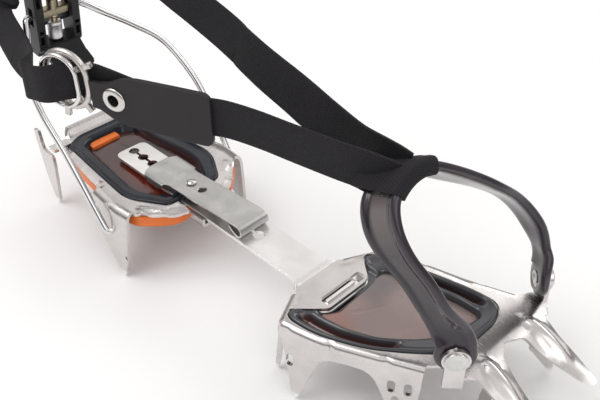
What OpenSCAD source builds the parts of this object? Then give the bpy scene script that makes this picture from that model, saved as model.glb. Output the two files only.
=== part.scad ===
// Strap-on crampon for the right boot: fourteen points, two stamped frames on a
// sliding centre bar, a flexible toe strap, and a wire heel bail with a lever.
// +X points to the toe, +Y to the inner side of the foot, +Z up.
// The origin is the middle of the front crossbar's rear edge, on the frame's top face.

/* [Frames] */
// Thickness of the stamped steel
sheet_t = 2; // [1.6:0.1:2.4]
// Height of the frames' top face above the ground that the points stand on
stand_h = 44; // [38:1:50]
// Width of the front crossbar's tongue
tongue_w = 31; // [28:1:34]
// Length of the slot in the tongue
slot_len = 26; // [22:1:27]
// Outward lean of the side points, in degrees
flare = 6; // [3:1:8]

/* [Centre bar] */
// Width of the centre bar
bar_w = 22; // [20:0.5:22]
// Distance from one adjustment hole to the next
hole_pitch = 9.65; // [9.5:0.05:10]
// Diameter of an adjustment hole
hole_d = 6.4; // [6:0.1:6.6]
// Number of adjustment holes
hole_count = 13; // [11:1:13]

/* [Heel binding] */
// Diameter of the heel bail's wire
wire_d = 4; // [3.5:0.1:4.2]
// Distance from the wire's hinge to its crosspiece
bail_reach = 128; // [124:1:130]
// Lean of the bail from level, in degrees
bail_lean = 55; // [52:1:58]
// Width of the heel lever
lever_w = 28; // [26:1:29]

/* [Straps] */
// Width of the webbing
web_w = 20; // [18:1:20]
// Thickness of the webbing
web_t = 1.6; // [1.4:0.1:1.8]
// Thickness of the moulded toe strap
toe_t = 4.6; // [4:0.1:4.8]

/* [Hidden] */
$fn = 48;

clear = 0.3;                       // gap between the clip's head and its leaf
mid_y = 30.5;                      // centre line of the front points and the lugs
tip_z = -stand_h;

// ---- helpers ----
function unit(v) = v / norm(v);
function tangent(p, i) = unit(p[min(i + 1, len(p) - 1)] - p[max(i - 1, 0)]);
// the part of a direction that is square to a run, as a unit vector
function across(t, dir) = unit(dir - (dir * t) * t);

// flat strip swept along a route, its width facing dir
module ribbon(route, dir, w, t) {
  n = len(route);
  rings = [for (i = [0:n - 1]) let (
      run = tangent(route, i),
      a = across(run, dir) * w / 2,
      b = cross(run, unit(a)) * t / 2)
    each [route[i] + a + b, route[i] - a + b, route[i] - a - b, route[i] + a - b]];
  skin(rings, 4);
}

// closed skin over rings of k points each, listed end to end
module skin(rings, k) {
  n = len(rings) / k;
  sides = [for (i = [0:n - 2], j = [0:k - 1]) let (p = k * i + j, q = k * i + (j + 1) % k)
    each [[p, q + k, q], [p, p + k, q + k]]];
  last = (n - 1) * k;
  ends = [for (j = [1:k - 2]) each [[0, j, j + 1], [last, last + j + 1, last + j]]];
  polyhedron(rings, concat(ends, sides));
}

// round wire swept along a route; dir is square to the route's plane
module wire(route, dir, d) {
  k = 12;
  skin([for (i = [0:len(route) - 1]) let (b = cross(tangent(route, i), dir))
    for (j = [0:k - 1]) route[i] + (dir * cos(j * 360 / k) + b * sin(j * 360 / k)) * d / 2], k);
}

// upright plate on the line from a to b, its outline given as [distance along, height];
// its outer face is on the line, and it leans outwards below the frame
module side_plate(a, b, outline, lean, side) {
  ang = atan2(b[1] - a[1], b[0] - a[0]);
  translate([a[0], a[1], 0]) rotate([0, 0, ang]) rotate([side * lean, 0, 0])
    rotate([90, 0, 0]) translate([0, 0, side < 0 ? -sheet_t : 0]) linear_extrude(sheet_t)
      polygon(outline);
}

// ---- front frame ----
cross_x = 21.5;                    // tongue's front edge
slot_x = 14.5;                     // slot's rear edge
slot_w = 4.5;
front_outline = [[0, -19], [9, -37], [13, -37.5], [28, -35], [56, -22], [79, -11], [81, -6.5],
  [86, -5.5], [89, -11], [98, -3.5], [97.5, 2], [98, 18], [95.5, 22], [94.5, 27.5], [96, 34],
  [102, 38.5], [104, 56], [99, 66.5], [90, 73], [87, 67.5], [80, 61], [57, 53], [33, 47],
  [12, 38.5], [9, 37], [0, 19]];
front_hole = [[9, -31], [14, -32.5], [24, -31.5], [34, -28.8], [52, -20.5], [66, -9.8],
  [74, -2.8], [81, 4], [85, 14], [85.5, 36], [83, 44], [77, 48.5], [64, 47.5], [48, 44],
  [32, 40], [18, 35.5], [10, 31.5], [8, 27], [13, 23.5], [20, 17.5], [cross_x, tongue_w / 2],
  [cross_x, -tongue_w / 2], [20, -17.5], [13, -23.5], [8, -27]];

// outlines of the points, as [distance along the rim, height], tips on the ground
finger = [[1, 0], [17, 0], [16.5, -9], [14, tip_z + 4], [12.5, tip_z], [11, tip_z + 1],
  [9, -11], [2, -7]];
rear_point = [[-1, 0], [23.5, 0], [23, -10.5], [20, -13], [17, -22], [11, tip_z + 3],
  [8.5, tip_z], [5, tip_z + 5], [4.5, tip_z + 7], [-1, -6]];
link_flange = [[0, 0], [25.5, 0], [25.5, -11.5], [21, -10], [8, -9.5], [0, -10.5]];
mid_point = [[0, 0], [25.4, 0], [25, -12], [24, -24], [20, tip_z + 2], [18, tip_z],
  [15, tip_z + 4], [8, -22], [3, -13], [0, -11]];
second_point = [[0, 0], [9, 0], [9.5, -12], [12, -32], [11, -35], [8, -33], [1, -12]];
point_root = 98;                   // where the front points leave the plate
point_len = 38;                    // from there to the tip
point_drop = 24;                   // slope of the front points, in degrees
lug_x = 91;
lug_y = [-6.5, 70];                // near and far rivet on the lugs' outer faces
lug_z = 12;
lug_ang = 47;                      // outward normal of a lug, from straight ahead
lug_r = 6.6;
rivet_d = 5;

// rim lines that carry the rear point, the flange between, the middle point and the
// second point: outer side of the foot first, then the inner side
rims = [
  [[[12, -37.8], [34, -32.6]], [[33, -33], [57, -21.9]], [[56, -22.4], [79, -11.5]],
   [[97, -3.5], [101.5, 4.5]]],
  [[[12, 38.6], [33, 47.2]], [[32, 46.9], [57.5, 53.2]], [[56.5, 52.9], [80, 61]],
   [[97, 67.5], [102.5, 59]]]];
function rim(side, i) = rims[side < 0 ? 0 : 1][i];

module lug_frame(side) {
  translate([lug_x, lug_y[side < 0 ? 0 : 1], lug_z]) rotate([0, 0, side * lug_ang])
    rotate([0, 90, 0]) children();
}
module lug(side) {
  difference() {
    lug_frame(side) translate([0, 0, -sheet_t]) linear_extrude(sheet_t) union() {
      circle(lug_r);
      translate([0, -4.7]) square([lug_z + 1.5, 9.4]);
    }
    lug_frame(side) translate([0, 0, -sheet_t - 1]) cylinder(d = rivet_d, h = sheet_t + 2);
  }
}
module front_point(side) {
  translate([point_root, mid_y + side * 18.5, 0]) rotate([0, 0, side * 7])
    rotate([0, point_drop, 0]) translate([0, 0, -sheet_t - 1]) linear_extrude(sheet_t + 1)
      polygon([[-3, -9.5], [4, -9.5], [14, -8], [28, -5], [point_len, -1.5], [point_len, 1.5],
        [28, 5], [14, 8], [4, 9.5], [-3, 9.5]]);
}
module point_row(side) {
  outlines = [rear_point, link_flange, mid_point, second_point];
  difference() {
    for (i = [0:3]) side_plate(rim(side, i)[0], rim(side, i)[1], outlines[i], flare, side);
    // lightening holes in the broad points
    for (h = [[0, 6, -20], [2, 10.5, -15], [2, 19, -14.5]])
      side_cut(rim(side, h[0])[0], rim(side, h[0])[1], h[1], h[2], side);
  }
  side_plate([0, side * 21], [10, side * 37.6], finger, flare, side);
}
// oval hole through a side plate
module side_cut(a, b, s, z, side) {
  ang = atan2(b[1] - a[1], b[0] - a[0]);
  translate([a[0], a[1], 0]) rotate([0, 0, ang]) rotate([side * flare, 0, 0])
    rotate([90, 0, 0]) translate([s, z, -3 * sheet_t]) linear_extrude(6 * sheet_t)
      union() {
        circle(d = 4, $fn = 24);
        translate([-2, -3.4]) square([4, 3.4]);
        translate([0, -3.4]) circle(d = 4, $fn = 24);
      }
}
module front_frame() {
  color("gainsboro") {
    translate([0, 0, -sheet_t]) linear_extrude(sheet_t) difference() {
      polygon(front_outline);
      polygon(front_hole);
      translate([slot_x, -slot_len / 2]) square([slot_w, slot_len]);
    }
    for (side = [-1, 1]) {
      point_row(side);
      front_point(side);
      lug(side);
    }
  }
}

// ---- front anti-snow plate ----
front_centre = [50, 8];
// shrinks an outline slightly towards the plate's middle
module front_scaled(k) {
  translate(front_centre) scale([k, k]) translate(-front_centre) children();
}
front_window = [[23.5, -11], [34, -17.5], [50, -11.5], [64, -2], [76, 12], [79.5, 21], [77, 36],
  [60, 36], [40, 30], [23.5, 19]];
module front_plate_rim() {
  color([0.25, 0.26, 0.29]) translate([0, 0, -9]) linear_extrude(9.8) difference() {
    front_scaled(0.985) polygon(front_hole);
    polygon(front_window);
  }
}
module front_plate_panel() {
  color([0.5, 0.38, 0.37]) translate([0, 0, -4.4]) linear_extrude(1.6)
    front_scaled(0.995) polygon(front_window);
}

// ---- toe strap ----
pad_r = 10.2;
module toe_strap_ends() {
  color([0.22, 0.2, 0.23]) for (side = [-1, 1]) lug_frame(side) difference() {
    translate([0, 0, -sheet_t - 5.1]) cylinder(r = pad_r, h = 5);
    translate([0, 0, -sheet_t - 6]) cylinder(d = rivet_d + 0.1, h = 8);
    translate([0, 0, -sheet_t - 6]) cylinder(d = 11.4, h = 2.2);
  }
}
module toe_rivets() {
  color("silver") for (side = [-1, 1]) lug_frame(side) {
    translate([0, 0, 0.05]) cylinder(d = 11, h = 1.3);
    translate([0, 0, -sheet_t - 4.8]) cylinder(d = rivet_d - 0.1, h = sheet_t + 5.1);
  }
}
module toe_washers() {
  color("silver") for (side = [-1, 1]) lug_frame(side) translate([0, 0, -sheet_t - 4.75])
    difference() {
      cylinder(d = 11, h = 0.8);
      translate([0, 0, -1]) cylinder(d = rivet_d, h = 3);
    }
}
// middle line of the strap, from the outer side over the toe to the inner side
toe_route = [[83.5, -3.8, 24.5], [76.4, -8, 36.3], [69.4, -11.5, 48.5], [62, -14.5, 61.5],
  [56.4, -15, 71], [51, -12.5, 79.5], [47.8, -7, 85.5], [46.2, 2, 88], [47.6, 12, 85.5],
  [52.4, 27, 77], [59.8, 46, 65], [66.6, 61, 53], [75, 69.5, 39], [83.5, 71, 24.5]];
toe_ref = [0.86, 0, 0.5];          // the way the strap's width faces
toe_w = 20;
module toe_strap() { color([0.22, 0.2, 0.23]) ribbon(toe_route, toe_ref, toe_w, toe_t); }
module webbing_wrap() {
  wrap = [toe_route[6], toe_route[7], (toe_route[7] + toe_route[8]) / 2];
  color([0.1, 0.1, 0.11]) difference() {
    ribbon(wrap, toe_ref, toe_w + 3.6, toe_t + 4);
    ribbon([for (p = wrap) p + (p[1] - 2) * [0, 0.3, 0]], toe_ref, toe_w + 0.6, toe_t + 0.7);
  }
}

// ---- centre bar ----
bar_top = -0.2;                    // the bar's top face behind its joggle
hook_top = -2.8;                   // its top face under the crossbar
bar_rear = -165;
joggle = [-14, -5];                // where the bar steps down
stud_x = -102;
bar_profile = [[bar_rear, bar_top], [joggle[0], bar_top], [joggle[1], hook_top],
  [cross_x - 1.5, hook_top], [cross_x - 1.5, hook_top - sheet_t],
  [joggle[1] - 0.8, hook_top - sheet_t], [joggle[0] - 0.8, bar_top - sheet_t],
  [bar_rear, bar_top - sheet_t]];
module center_bar() {
  color("gainsboro") difference() {
    union() {
      intersection() {
        rotate([90, 0, 0]) translate([0, 0, -20]) linear_extrude(40) polygon(bar_profile);
        translate([0, 0, -10]) linear_extrude(12) union() {
          translate([bar_rear + 4, -bar_w / 2]) square([-bar_rear + 10, bar_w]);
          translate([bar_rear, -bar_w / 2 + 4]) square([8, bar_w - 8]);
          for (s = [-1, 1]) translate([bar_rear + 4, s * (bar_w / 2 - 4)]) circle(4);
          translate([9, -13]) square([11, 26]);
        }
      }
      // hook that stands up in the crossbar's slot
      translate([slot_x + 1, -slot_len / 2 + 2, hook_top - sheet_t])
        cube([2, slot_len - 4, sheet_t - hook_top - 0.6]);
    }
    for (i = [0:hole_count - 1]) translate([stud_x + (i - 6) * hole_pitch, 0, -10]) {
      cylinder(d = hole_d, h = 20);
      if (i < hole_count - 1) translate([0, -0.8, 0]) cube([hole_pitch, 1.6, 20]);
    }
  }
}

// ---- heel frame ----
heel_half = [[-207, 21], [-199, 27], [-169, 36], [-140, 40], [-118, 43], [-108, 41], [-99, 29],
  [-91, 21], [-89, 13]];
heel_hole_half = [[-197.7, 17.6], [-192, 26.5], [-126, 31.5], [-119, 29], [-101, 18]];
function both(half) = concat(half, [for (i = [len(half) - 1:-1:0]) [half[i][0], -half[i][1]]]);
heel_point = [[0, 0], [33, 0], [33.5, -14], [31.5, -36], [29, tip_z], [25, tip_z + 1.5],
  [24.5, tip_z + 4.5], [13, -27], [-2, -21], [-4, -12]];
rear_heel_point = [[-2, 11], [3, 11], [5, -2], [15, -3], [14.5, -10], [8, tip_z + 2], [5.5, tip_z],
  [3, tip_z + 2], [0, -9]];
bail_x = -121.5;                   // hinge of the wire bail
bail_z = -16;
bridge_x = [-88, -76];             // the stirrup under the bar
module rear_frame() {
  color("gainsboro") {
    difference() {
      union() {
        translate([0, 0, -sheet_t]) linear_extrude(sheet_t) difference() {
          polygon(both(heel_half));
          polygon(both(heel_hole_half));
          translate([-104, -bar_w / 2 - 1]) square([20, bar_w + 2]);
        }
        for (s = [-1, 1]) {
          side_plate([-140, s * 41], [-107, s * 43], heel_point, flare - 1, s);
          side_plate([-209, s * 38.5], [-190, s * 38.5], rear_heel_point, 2, s);
          // arm from the rim out to the rear point
          translate([-199, s > 0 ? 26 : -37, -9]) cube([6, 11, 7]);
        }
        // upturned lip behind the heel
        translate([-209, -21, -sheet_t]) cube([sheet_t, 42, 9]);
        // stirrup: its sides come down from the front strip and its floor passes under the bar
        for (s = [-1, 1]) translate([bridge_x[0] - 2, s > 0 ? bar_w / 2 + 0.6 : -bar_w / 2 - 2.6, -6.5])
          cube([bridge_x[1] - bridge_x[0] + 2, 2, 6.5]);
        translate([bridge_x[0], -bar_w / 2 - 2.6, -6.5])
          cube([bridge_x[1] - bridge_x[0], bar_w + 5.2, sheet_t]);
      }
      translate([bail_x, 0, bail_z]) rotate([90, 0, 0])
        cylinder(d = wire_d + 0.16, h = 120, center = true);
    }
  }
}

// ---- rear anti-snow plate ----
rear_window_half = [[-188, 15], [-184, 20], [-130, 24.5], [-124, 23], [-108, 14]];
module heel_scaled(k) { translate([-150, 0]) scale([k, k]) translate([150, 0]) children(); }
module rear_plate_rim() {
  color([0.15, 0.16, 0.19]) difference() {
    translate([0, 0, -8]) linear_extrude(9) difference() {
      heel_scaled(0.985) polygon(both(heel_hole_half));
      polygon(both(rear_window_half));
    }
    // the bar and the stirrup pass through the front end
    translate([-113, -bar_w / 2 - 0.6, -9]) cube([20, bar_w + 1.2, 12]);
  }
}
module rear_plate_panel() {
  color([0.3, 0.08, 0.05]) translate([0, 0, -7]) linear_extrude(1.6) heel_scaled(0.99)
    polygon(both(rear_window_half));
}
// orange moulding under the steel rim
skirt_half = [[-200, 20], [-194, 25.5], [-168, 34], [-142, 35], [-119, 38], [-108, 36.5],
  [-99, 28], [-92, 20]];
module rear_skirt() {
  color([0.95, 0.42, 0.08]) translate([0, 0, -9]) linear_extrude(6.6) difference() {
    polygon(both(skirt_half));
    heel_scaled(1.005) polygon(both(heel_hole_half));
    translate([-115, -bar_w / 2 - 4]) square([40, bar_w + 8]);
  }
}

// ---- length adjuster ----
flex_x = -112;                     // where the leaf spring starts to bend
leaf_t = 1.2;
leaf_rise = 4;                     // how far the leaf climbs to its roll
roll_x = -51;
roll_d = 8;
leaf_w = 20.5;
module clip_head() {
  color([0.62, 0.62, 0.6]) {
    translate([0, 0, 3]) linear_extrude(leaf_t) polygon([[-134, -7], [-134, 7], [-128, 12.6],
      [-116, 12.6], [flex_x, leaf_w / 2], [flex_x, -leaf_w / 2], [-116, -12.6], [-128, -12.6]]);
    // sides that wrap down past the bar's edges
    for (s = [-1, 1]) translate([-128, s > 0 ? 11.4 : -12.6, -1.2]) cube([12, 1.2, 5.4]);
  }
}
module leaf() {
  translate([flex_x, 0, 3]) rotate([0, -atan(leaf_rise / (roll_x - flex_x)), 0]) children();
}
module clip_spring() {
  color([0.62, 0.62, 0.6]) {
    difference() {
      leaf() translate([clear, -leaf_w / 2, 0]) cube([roll_x - flex_x, leaf_w, leaf_t]);
      translate([stud_x, 0, 0]) cylinder(d = 4, h = 12);
      translate([stud_x + 10, 0, 0]) cylinder(d = 5.6, h = 12);
    }
    translate([roll_x, leaf_w / 2, roll_d / 2 + 0.2]) rotate([90, 0, 0]) difference() {
      cylinder(d = roll_d, h = leaf_w);
      translate([0, 0, -1]) cylinder(d = roll_d - 2 * leaf_t, h = leaf_w + 2);
    }
  }
}
module clip_stud() {
  color("silver") translate([stud_x, 0, 0]) {
    translate([0, 0, 5.4]) cylinder(d1 = 6, d2 = 4.4, h = 1.2);
    translate([0, 0, bar_top + 0.4]) cylinder(d = 3.95, h = 5.6);
    translate([0, 0, bar_top - 1.7]) cylinder(d1 = 4.4, d2 = 5, h = 2.1);
  }
}

// ---- heel bail ----
// in the plane of the bail: distance from the hinge, and y
bail_half_near = [[0, -45.6], [0.5, -47.4], [2.5, -48.4], [14, -48.8], [50, -49.5], [75, -51],
  [92, -49.5], [106, -44.5], [118, -38.5], [126, -35.8], [bail_reach - 0.4, -34.5],
  [bail_reach, -33]];
bail_half_far = [[bail_reach, -1], [bail_reach - 0.4, 0.5], [126, 2.5], [118, 11], [105, 26], [90, 40],
  [70, 47.5], [50, 50.5], [20, 49.5], [2.5, 48.4], [0.5, 47.4], [0, 45.6]];
function on_bail(q) = [bail_x - q[0] * cos(bail_lean), q[1], bail_z + q[0] * sin(bail_lean)];
module bail_pin(y0, y1, at) {
  translate([at[0], y1, at[2]]) rotate([90, 0, 0]) cylinder(d = wire_d, h = y1 - y0);
}
module heel_bail() {
  square_to = [sin(bail_lean), 0, cos(bail_lean)];
  color("silver") {
    wire([for (q = bail_half_near) on_bail(q)], square_to, wire_d);
    wire([for (q = bail_half_far) on_bail(q)], square_to, wire_d);
    bail_pin(-45.7, -40.5, on_bail([0, 0]));
    bail_pin(40.5, 45.7, on_bail([0, 0]));
    bail_pin(-33.1, -0.9, on_bail([bail_reach, 0]));
  }
}

// ---- heel lever ----
wire_at = on_bail([bail_reach, 0]);
lever_y = -17;
lever_lean = 10;                   // the lever leans forwards from upright
lever_t = 12;
rail_w = 5;
window = [-18, 12];                // the lever's window, measured along it from the wire
barrel = [-17.6, -8.4];
rod_d = 4;
module lever_frame() {
  translate([wire_at[0], lever_y, wire_at[2]]) rotate([0, lever_lean, 0]) children();
}
module heel_lever() {
  win_y = lever_w / 2 - rail_w;
  color([0.11, 0.11, 0.12]) lever_frame() difference() {
    union() {
      translate([-lever_t / 2, -lever_w / 2, -22]) cube([lever_t, lever_w, 56]);
      // claw that seats on the boot's heel welt
      translate([-lever_t / 2, -9, -26]) cube([lever_t - 3, 18, 5]);
    }
    translate([-lever_t, -win_y, window[0]]) cube([2 * lever_t, 2 * win_y, 9.9]);
    translate([-lever_t, -win_y, -6.3]) cube([2 * lever_t, 2 * win_y, window[1] + 6.3]);
    translate([0, 0, -9]) cylinder(d = rod_d + 0.8, h = 4);
    // slots that the wire slides in
    for (s = [-1, 1]) translate([-wire_d / 2 - 0.1, s > 0 ? win_y - 1 : -lever_w / 2 - 1, -5.6])
      cube([wire_d + 0.2, rail_w + 2, 11.2]);
    // keeper for the ankle strap across the back, open at both sides
    translate([-lever_t / 2 + 1.8, -lever_w / 2 - 1, 17]) cube([3.4, lever_w + 2, web_w + 2]);
  }
}
module lever_carriage() {
  color([0.75, 0.7, 0.5]) lever_frame() difference() {
    union() {
      translate([-4.5, -8.4, -2.5]) cube([9, 16.8, 5]);
      translate([0, 0, -13.6]) cylinder(d = rod_d, h = 11.2);
    }
    rotate([90, 0, 0]) cylinder(d = wire_d + 0.16, h = 40, center = true);
  }
}
module adjust_barrel() {
  color("silver") lever_frame() difference() {
    translate([0, 0, barrel[0]]) cylinder(d = 8.6, h = barrel[1] - barrel[0]);
    translate([0, 0, barrel[0] + 0.6]) cylinder(d = rod_d + 0.12, h = 20);
  }
}

// ---- ankle strap ----
// the outer run goes from the toe strap back to the patch; the inner run goes round the
// ankle's inner side to the lever, crosses its back, and comes round to the buckle
up = [0, 0, 1];
outer_route = [[35, -9, 88.5], [22, -12, 88.5], [0, -16, 88.5], [-20, -19.5, 88.5],
  [-38, -23, 87.5]];
inner_front_route = [[35, 3.2, 89.2], [20, 3, 90], [0, 3, 93], [-20, 4.5, 97], [-42, 7, 100],
  [-60, 9.5, 102]];
inner_rear_route = [[-66, 13.5, 102.5], [-90, 16.5, 105], [-123, 21, 108], [-155, 24, 111],
  [-178, 20, 113], [-187.5, 10, 115]];
loop_route = [[-190, 3, 116.5], [-192.5, -2, 116.9], [-192.5, -32, 116.9], [-199, -37, 113]];
loop_up = [sin(lever_lean), 0, cos(lever_lean)];
buckle_route = [[-203, -41.5, 111], [-216, -42.5, 103], [-226, -43, 92], [-222, -44, 82],
  [-205, -47.5, 77], [-185, -50.5, 76.5], [-160, -52.5, 79], [-141, -53.5, 81.5], [-128, -54.5, 83]];
black = [0.1, 0.1, 0.11];
module webbing_outer() { color(black) ribbon(outer_route, up, web_w, web_t); }
module webbing_inner_front() { color(black) ribbon(inner_front_route, up, web_w, web_t); }
module webbing_inner_rear() { color(black) ribbon(inner_rear_route, up, web_w, web_t); }
module webbing_lever_loop() { color(black) ribbon(loop_route, loop_up, web_w, web_t); }
module webbing_to_buckle() { color(black) ribbon(buckle_route, up, web_w, web_t); }
// frames that lie along the strap: x along it to the front, y up, z outwards
patch_back = [-106, -51, 85];
patch_front = [-42, -25.5, 88];
patch_ang = atan2(patch_front[1] - patch_back[1], patch_front[0] - patch_back[0]);
module on_patch() {
  translate(patch_back) rotate([0, 0, patch_ang]) rotate([90, 0, 0]) children();
}
patch_len = 68;
patch_h = 28;
neck_h = 15;
eyelet_x = 15;
eyelet_d = 6;
module buckle_patch() {
  color([0.16, 0.15, 0.16]) on_patch() translate([0, 0, -1.5]) linear_extrude(3) difference() {
    polygon([[2.4, -neck_h / 2], [5, -neck_h / 2], [16, -patch_h / 2 + 1], [patch_len - 4, -patch_h / 2],
      [patch_len, -patch_h / 2 + 4], [patch_len, patch_h / 2 - 4], [patch_len - 4, patch_h / 2],
      [24, patch_h / 2 - 1], [9, neck_h / 2 + 2], [2.4, neck_h / 2]]);
    translate([eyelet_x, 0]) circle(d = eyelet_d + 2.2);
  }
}
module patch_eyelet() {
  color("silver") on_patch() translate([eyelet_x, 0, 0]) difference() {
    union() {
      for (z = [-2.6, 1.6]) translate([0, 0, z]) cylinder(d = 12.6, h = 1);
      translate([0, 0, -2]) cylinder(d = eyelet_d + 2, h = 4);
    }
    translate([0, 0, -5]) cylinder(d = eyelet_d, h = 10);
  }
}
ring_len = 27;
ring_h = 33;
ring_t = 3.4;
module oval(l, h) {
  hull() for (s = [-1, 1]) translate([0, s * (h - l) / 2]) circle(d = l);
}
ring_at = [-12, 5];                // ring's middle, along the strap and up
module buckle_ring() {
  color("silver") on_patch() translate([ring_at[0], ring_at[1], -ring_t / 2]) {
    linear_extrude(ring_t) difference() {
      union() {
        oval(ring_len, ring_h);
        // ears on the ring's outer edge
        for (e = [[9, 6, 25], [5, -10, -55], [-3, -12, -100]])
          translate([e[0], e[1]]) rotate(e[2]) square([8.5, 3]);
      }
      oval(ring_len - 2 * ring_t, ring_h - 2 * ring_t);
    }
  }
}
module buckle_wire() {
  color("silver") on_patch() translate([ring_at[0] - 2, ring_at[1], ring_t / 2 + 0.2])
    linear_extrude(2.2) difference() {
      oval(ring_len - 5, ring_h - 3);
      oval(ring_len - 9.4, ring_h - 7.4);
    }
}
module webbing_tail() {
  color(black) on_patch() translate([-14, -web_w / 2 + 3, -4.6]) cube([42, web_w, web_t]);
}

front_frame();
front_plate_rim();
front_plate_panel();
toe_strap_ends();
toe_rivets();
toe_washers();
center_bar();
rear_frame();
rear_plate_rim();
rear_plate_panel();
rear_skirt();
clip_head();
clip_spring();
clip_stud();
heel_bail();
lever_carriage();
heel_lever();
adjust_barrel();
webbing_lever_loop();
webbing_to_buckle();
buckle_ring();
buckle_wire();
buckle_patch();
patch_eyelet();
webbing_tail();
webbing_inner_rear();
toe_strap();
webbing_wrap();
webbing_outer();
webbing_inner_front();
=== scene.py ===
import bpy, bmesh, math
from mathutils import Vector, Matrix
from mathutils.geometry import delaunay_2d_cdt
from mathutils.kdtree import KDTree


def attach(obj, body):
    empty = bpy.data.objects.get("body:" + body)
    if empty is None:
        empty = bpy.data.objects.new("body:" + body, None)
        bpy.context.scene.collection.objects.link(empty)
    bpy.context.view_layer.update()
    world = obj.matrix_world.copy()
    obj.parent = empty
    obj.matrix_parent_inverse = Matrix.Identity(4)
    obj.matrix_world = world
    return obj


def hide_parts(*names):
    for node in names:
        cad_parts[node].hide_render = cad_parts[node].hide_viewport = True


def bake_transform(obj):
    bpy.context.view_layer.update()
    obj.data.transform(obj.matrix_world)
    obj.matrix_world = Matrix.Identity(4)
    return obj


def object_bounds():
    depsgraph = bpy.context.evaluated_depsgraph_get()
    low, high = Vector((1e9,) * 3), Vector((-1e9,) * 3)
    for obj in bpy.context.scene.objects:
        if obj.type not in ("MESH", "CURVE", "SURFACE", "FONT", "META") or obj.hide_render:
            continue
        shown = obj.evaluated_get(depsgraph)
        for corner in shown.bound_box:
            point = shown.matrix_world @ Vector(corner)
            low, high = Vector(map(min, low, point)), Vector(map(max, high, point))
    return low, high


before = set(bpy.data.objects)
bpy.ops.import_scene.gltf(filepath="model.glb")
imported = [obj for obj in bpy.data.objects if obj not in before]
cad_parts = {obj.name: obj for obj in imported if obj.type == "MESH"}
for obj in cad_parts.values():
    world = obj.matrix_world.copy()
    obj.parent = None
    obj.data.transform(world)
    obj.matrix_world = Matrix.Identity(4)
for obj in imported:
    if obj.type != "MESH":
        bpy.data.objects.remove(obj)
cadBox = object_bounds()
scene = bpy.context.scene


# shapes: everything is drawn in millimetres and made in metres
def mix(a, b, t):
    return a + (b - a) * t


def ease(t):
    t = min(max(t, 0.0), 1.0)
    return t * t * (3 - 2 * t)


def softPath(points, cut, step, closed=False):
    # corners cut to smooth bends, and long stretches split; a third value is a corner's own cut
    n = len(points)
    out = []
    for i, p in enumerate(points):
        c = Vector(p[:2])
        r = p[2] if len(p) > 2 else cut
        if (not closed and i in (0, n - 1)) or r < 0.05:
            out.append(c)
            continue
        a, b = Vector(points[i - 1][:2]), Vector(points[(i + 1) % n][:2])
        r = min(r, 0.48 * (a - c).length, 0.48 * (b - c).length)
        s, e = c + (a - c).normalized() * r, c + (b - c).normalized() * r
        k = max(2, int(2 * r / step) + 1)
        out += [s * (1 - t) ** 2 + c * 2 * t * (1 - t) + e * t * t for t in (j / k for j in range(k + 1))]
    full = []
    for i in range(len(out) - (0 if closed else 1)):
        a, b = out[i], out[(i + 1) % len(out)]
        if (b - a).length < 0.25:
            continue
        full.append(a)
        k = int((b - a).length / step)
        full += [mix(a, b, j / (k + 1)) for j in range(1, k + 1)]
    if not closed:
        full.append(out[-1])
    return full


def inside(p, loop):
    hit = False
    x, y = p
    b = loop[-1]
    for a in loop:
        if (a[1] > y) != (b[1] > y) and x < (b[0] - a[0]) * (y - a[1]) / (b[1] - a[1]) + a[0]:
            hit = not hit
        b = a
    return hit


def fillSheet(loops, step, trim=0.0):
    # triangles that fill the first loop and leave the others open
    points, edges = [], []
    for loop in loops:
        k = len(points)
        points += [Vector(p) for p in loop]
        edges += [(k + i, k + (i + 1) % len(loop)) for i in range(len(loop))]
    tree = KDTree(len(points))
    for i, p in enumerate(points):
        tree.insert((p.x, p.y, 0), i)
    tree.balance()
    xs, ys = [p.x for p in loops[0]], [p.y for p in loops[0]]
    row, y = 0, min(ys)
    while y < max(ys):
        x = min(xs) + (step / 2 if row % 2 else 0)
        while x < max(xs):
            if inside((x, y), loops[0]) and not any(inside((x, y), h) for h in loops[1:]):
                if tree.find((x, y, 0))[2] > step * 0.6:
                    points.append(Vector((x, y)))
            x += step
        y += step * 0.866
        row += 1
    made = delaunay_2d_cdt(points, edges, [], 0, 1e-5)
    verts, faces = made[0], []
    for f in made[2]:
        c = sum((verts[i] for i in f), Vector((0, 0))) / len(f)
        # a sliver along a nearly straight edge would spoil the edge's normals
        p, q, r = (verts[i] for i in f)
        twice = abs((q - p).cross(r - p))
        if twice < trim * max((q - p).length, (r - q).length,
                (p - r).length) and all(tree.find((v.x, v.y, 0))[2] < 1e-3 for v in (p, q, r)):
            continue
        if inside(c, loops[0]) and not any(inside(c, h) for h in loops[1:]):
            faces.append(tuple(f))
    return verts, faces


def makeMesh(name, verts, faces, uvs=None, marks=None):
    # uvs are per vertex; marks is {attribute: values per vertex}
    mesh = bpy.data.meshes.new(name)
    mesh.from_pydata([Vector(v) * 0.001 for v in verts], [], faces)
    mesh.update()
    if uvs:
        layer = mesh.uv_layers.new(name="run")
        for loop in mesh.loops:
            layer.data[loop.index].uv = uvs[loop.vertex_index]
    for key, values in (marks or {}).items():
        mesh.attributes.new(key, "FLOAT", "POINT").data.foreach_set("value", values)
    for p in mesh.polygons:
        p.use_smooth = True
    piece = bpy.data.objects.new(name, mesh)
    scene.collection.objects.link(piece)
    return piece


def tidyMesh(piece, gap=0.00002, turn=True, up=None):
    # joins doubled points and turns the faces outwards, or towards up on an open sheet
    bm = bmesh.new()
    bm.from_mesh(piece.data)
    bmesh.ops.remove_doubles(bm, verts=bm.verts, dist=gap)
    bmesh.ops.delete(bm, geom=[v for v in bm.verts if not v.link_faces], context="VERTS")
    if turn:
        bmesh.ops.recalc_face_normals(bm, faces=bm.faces)
    if up is not None:
        if sum(f.normal.dot(up) * f.calc_area() for f in bm.faces) < 0:
            bmesh.ops.reverse_faces(bm, faces=bm.faces)
    bm.to_mesh(piece.data)
    bm.free()
    return piece


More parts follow.
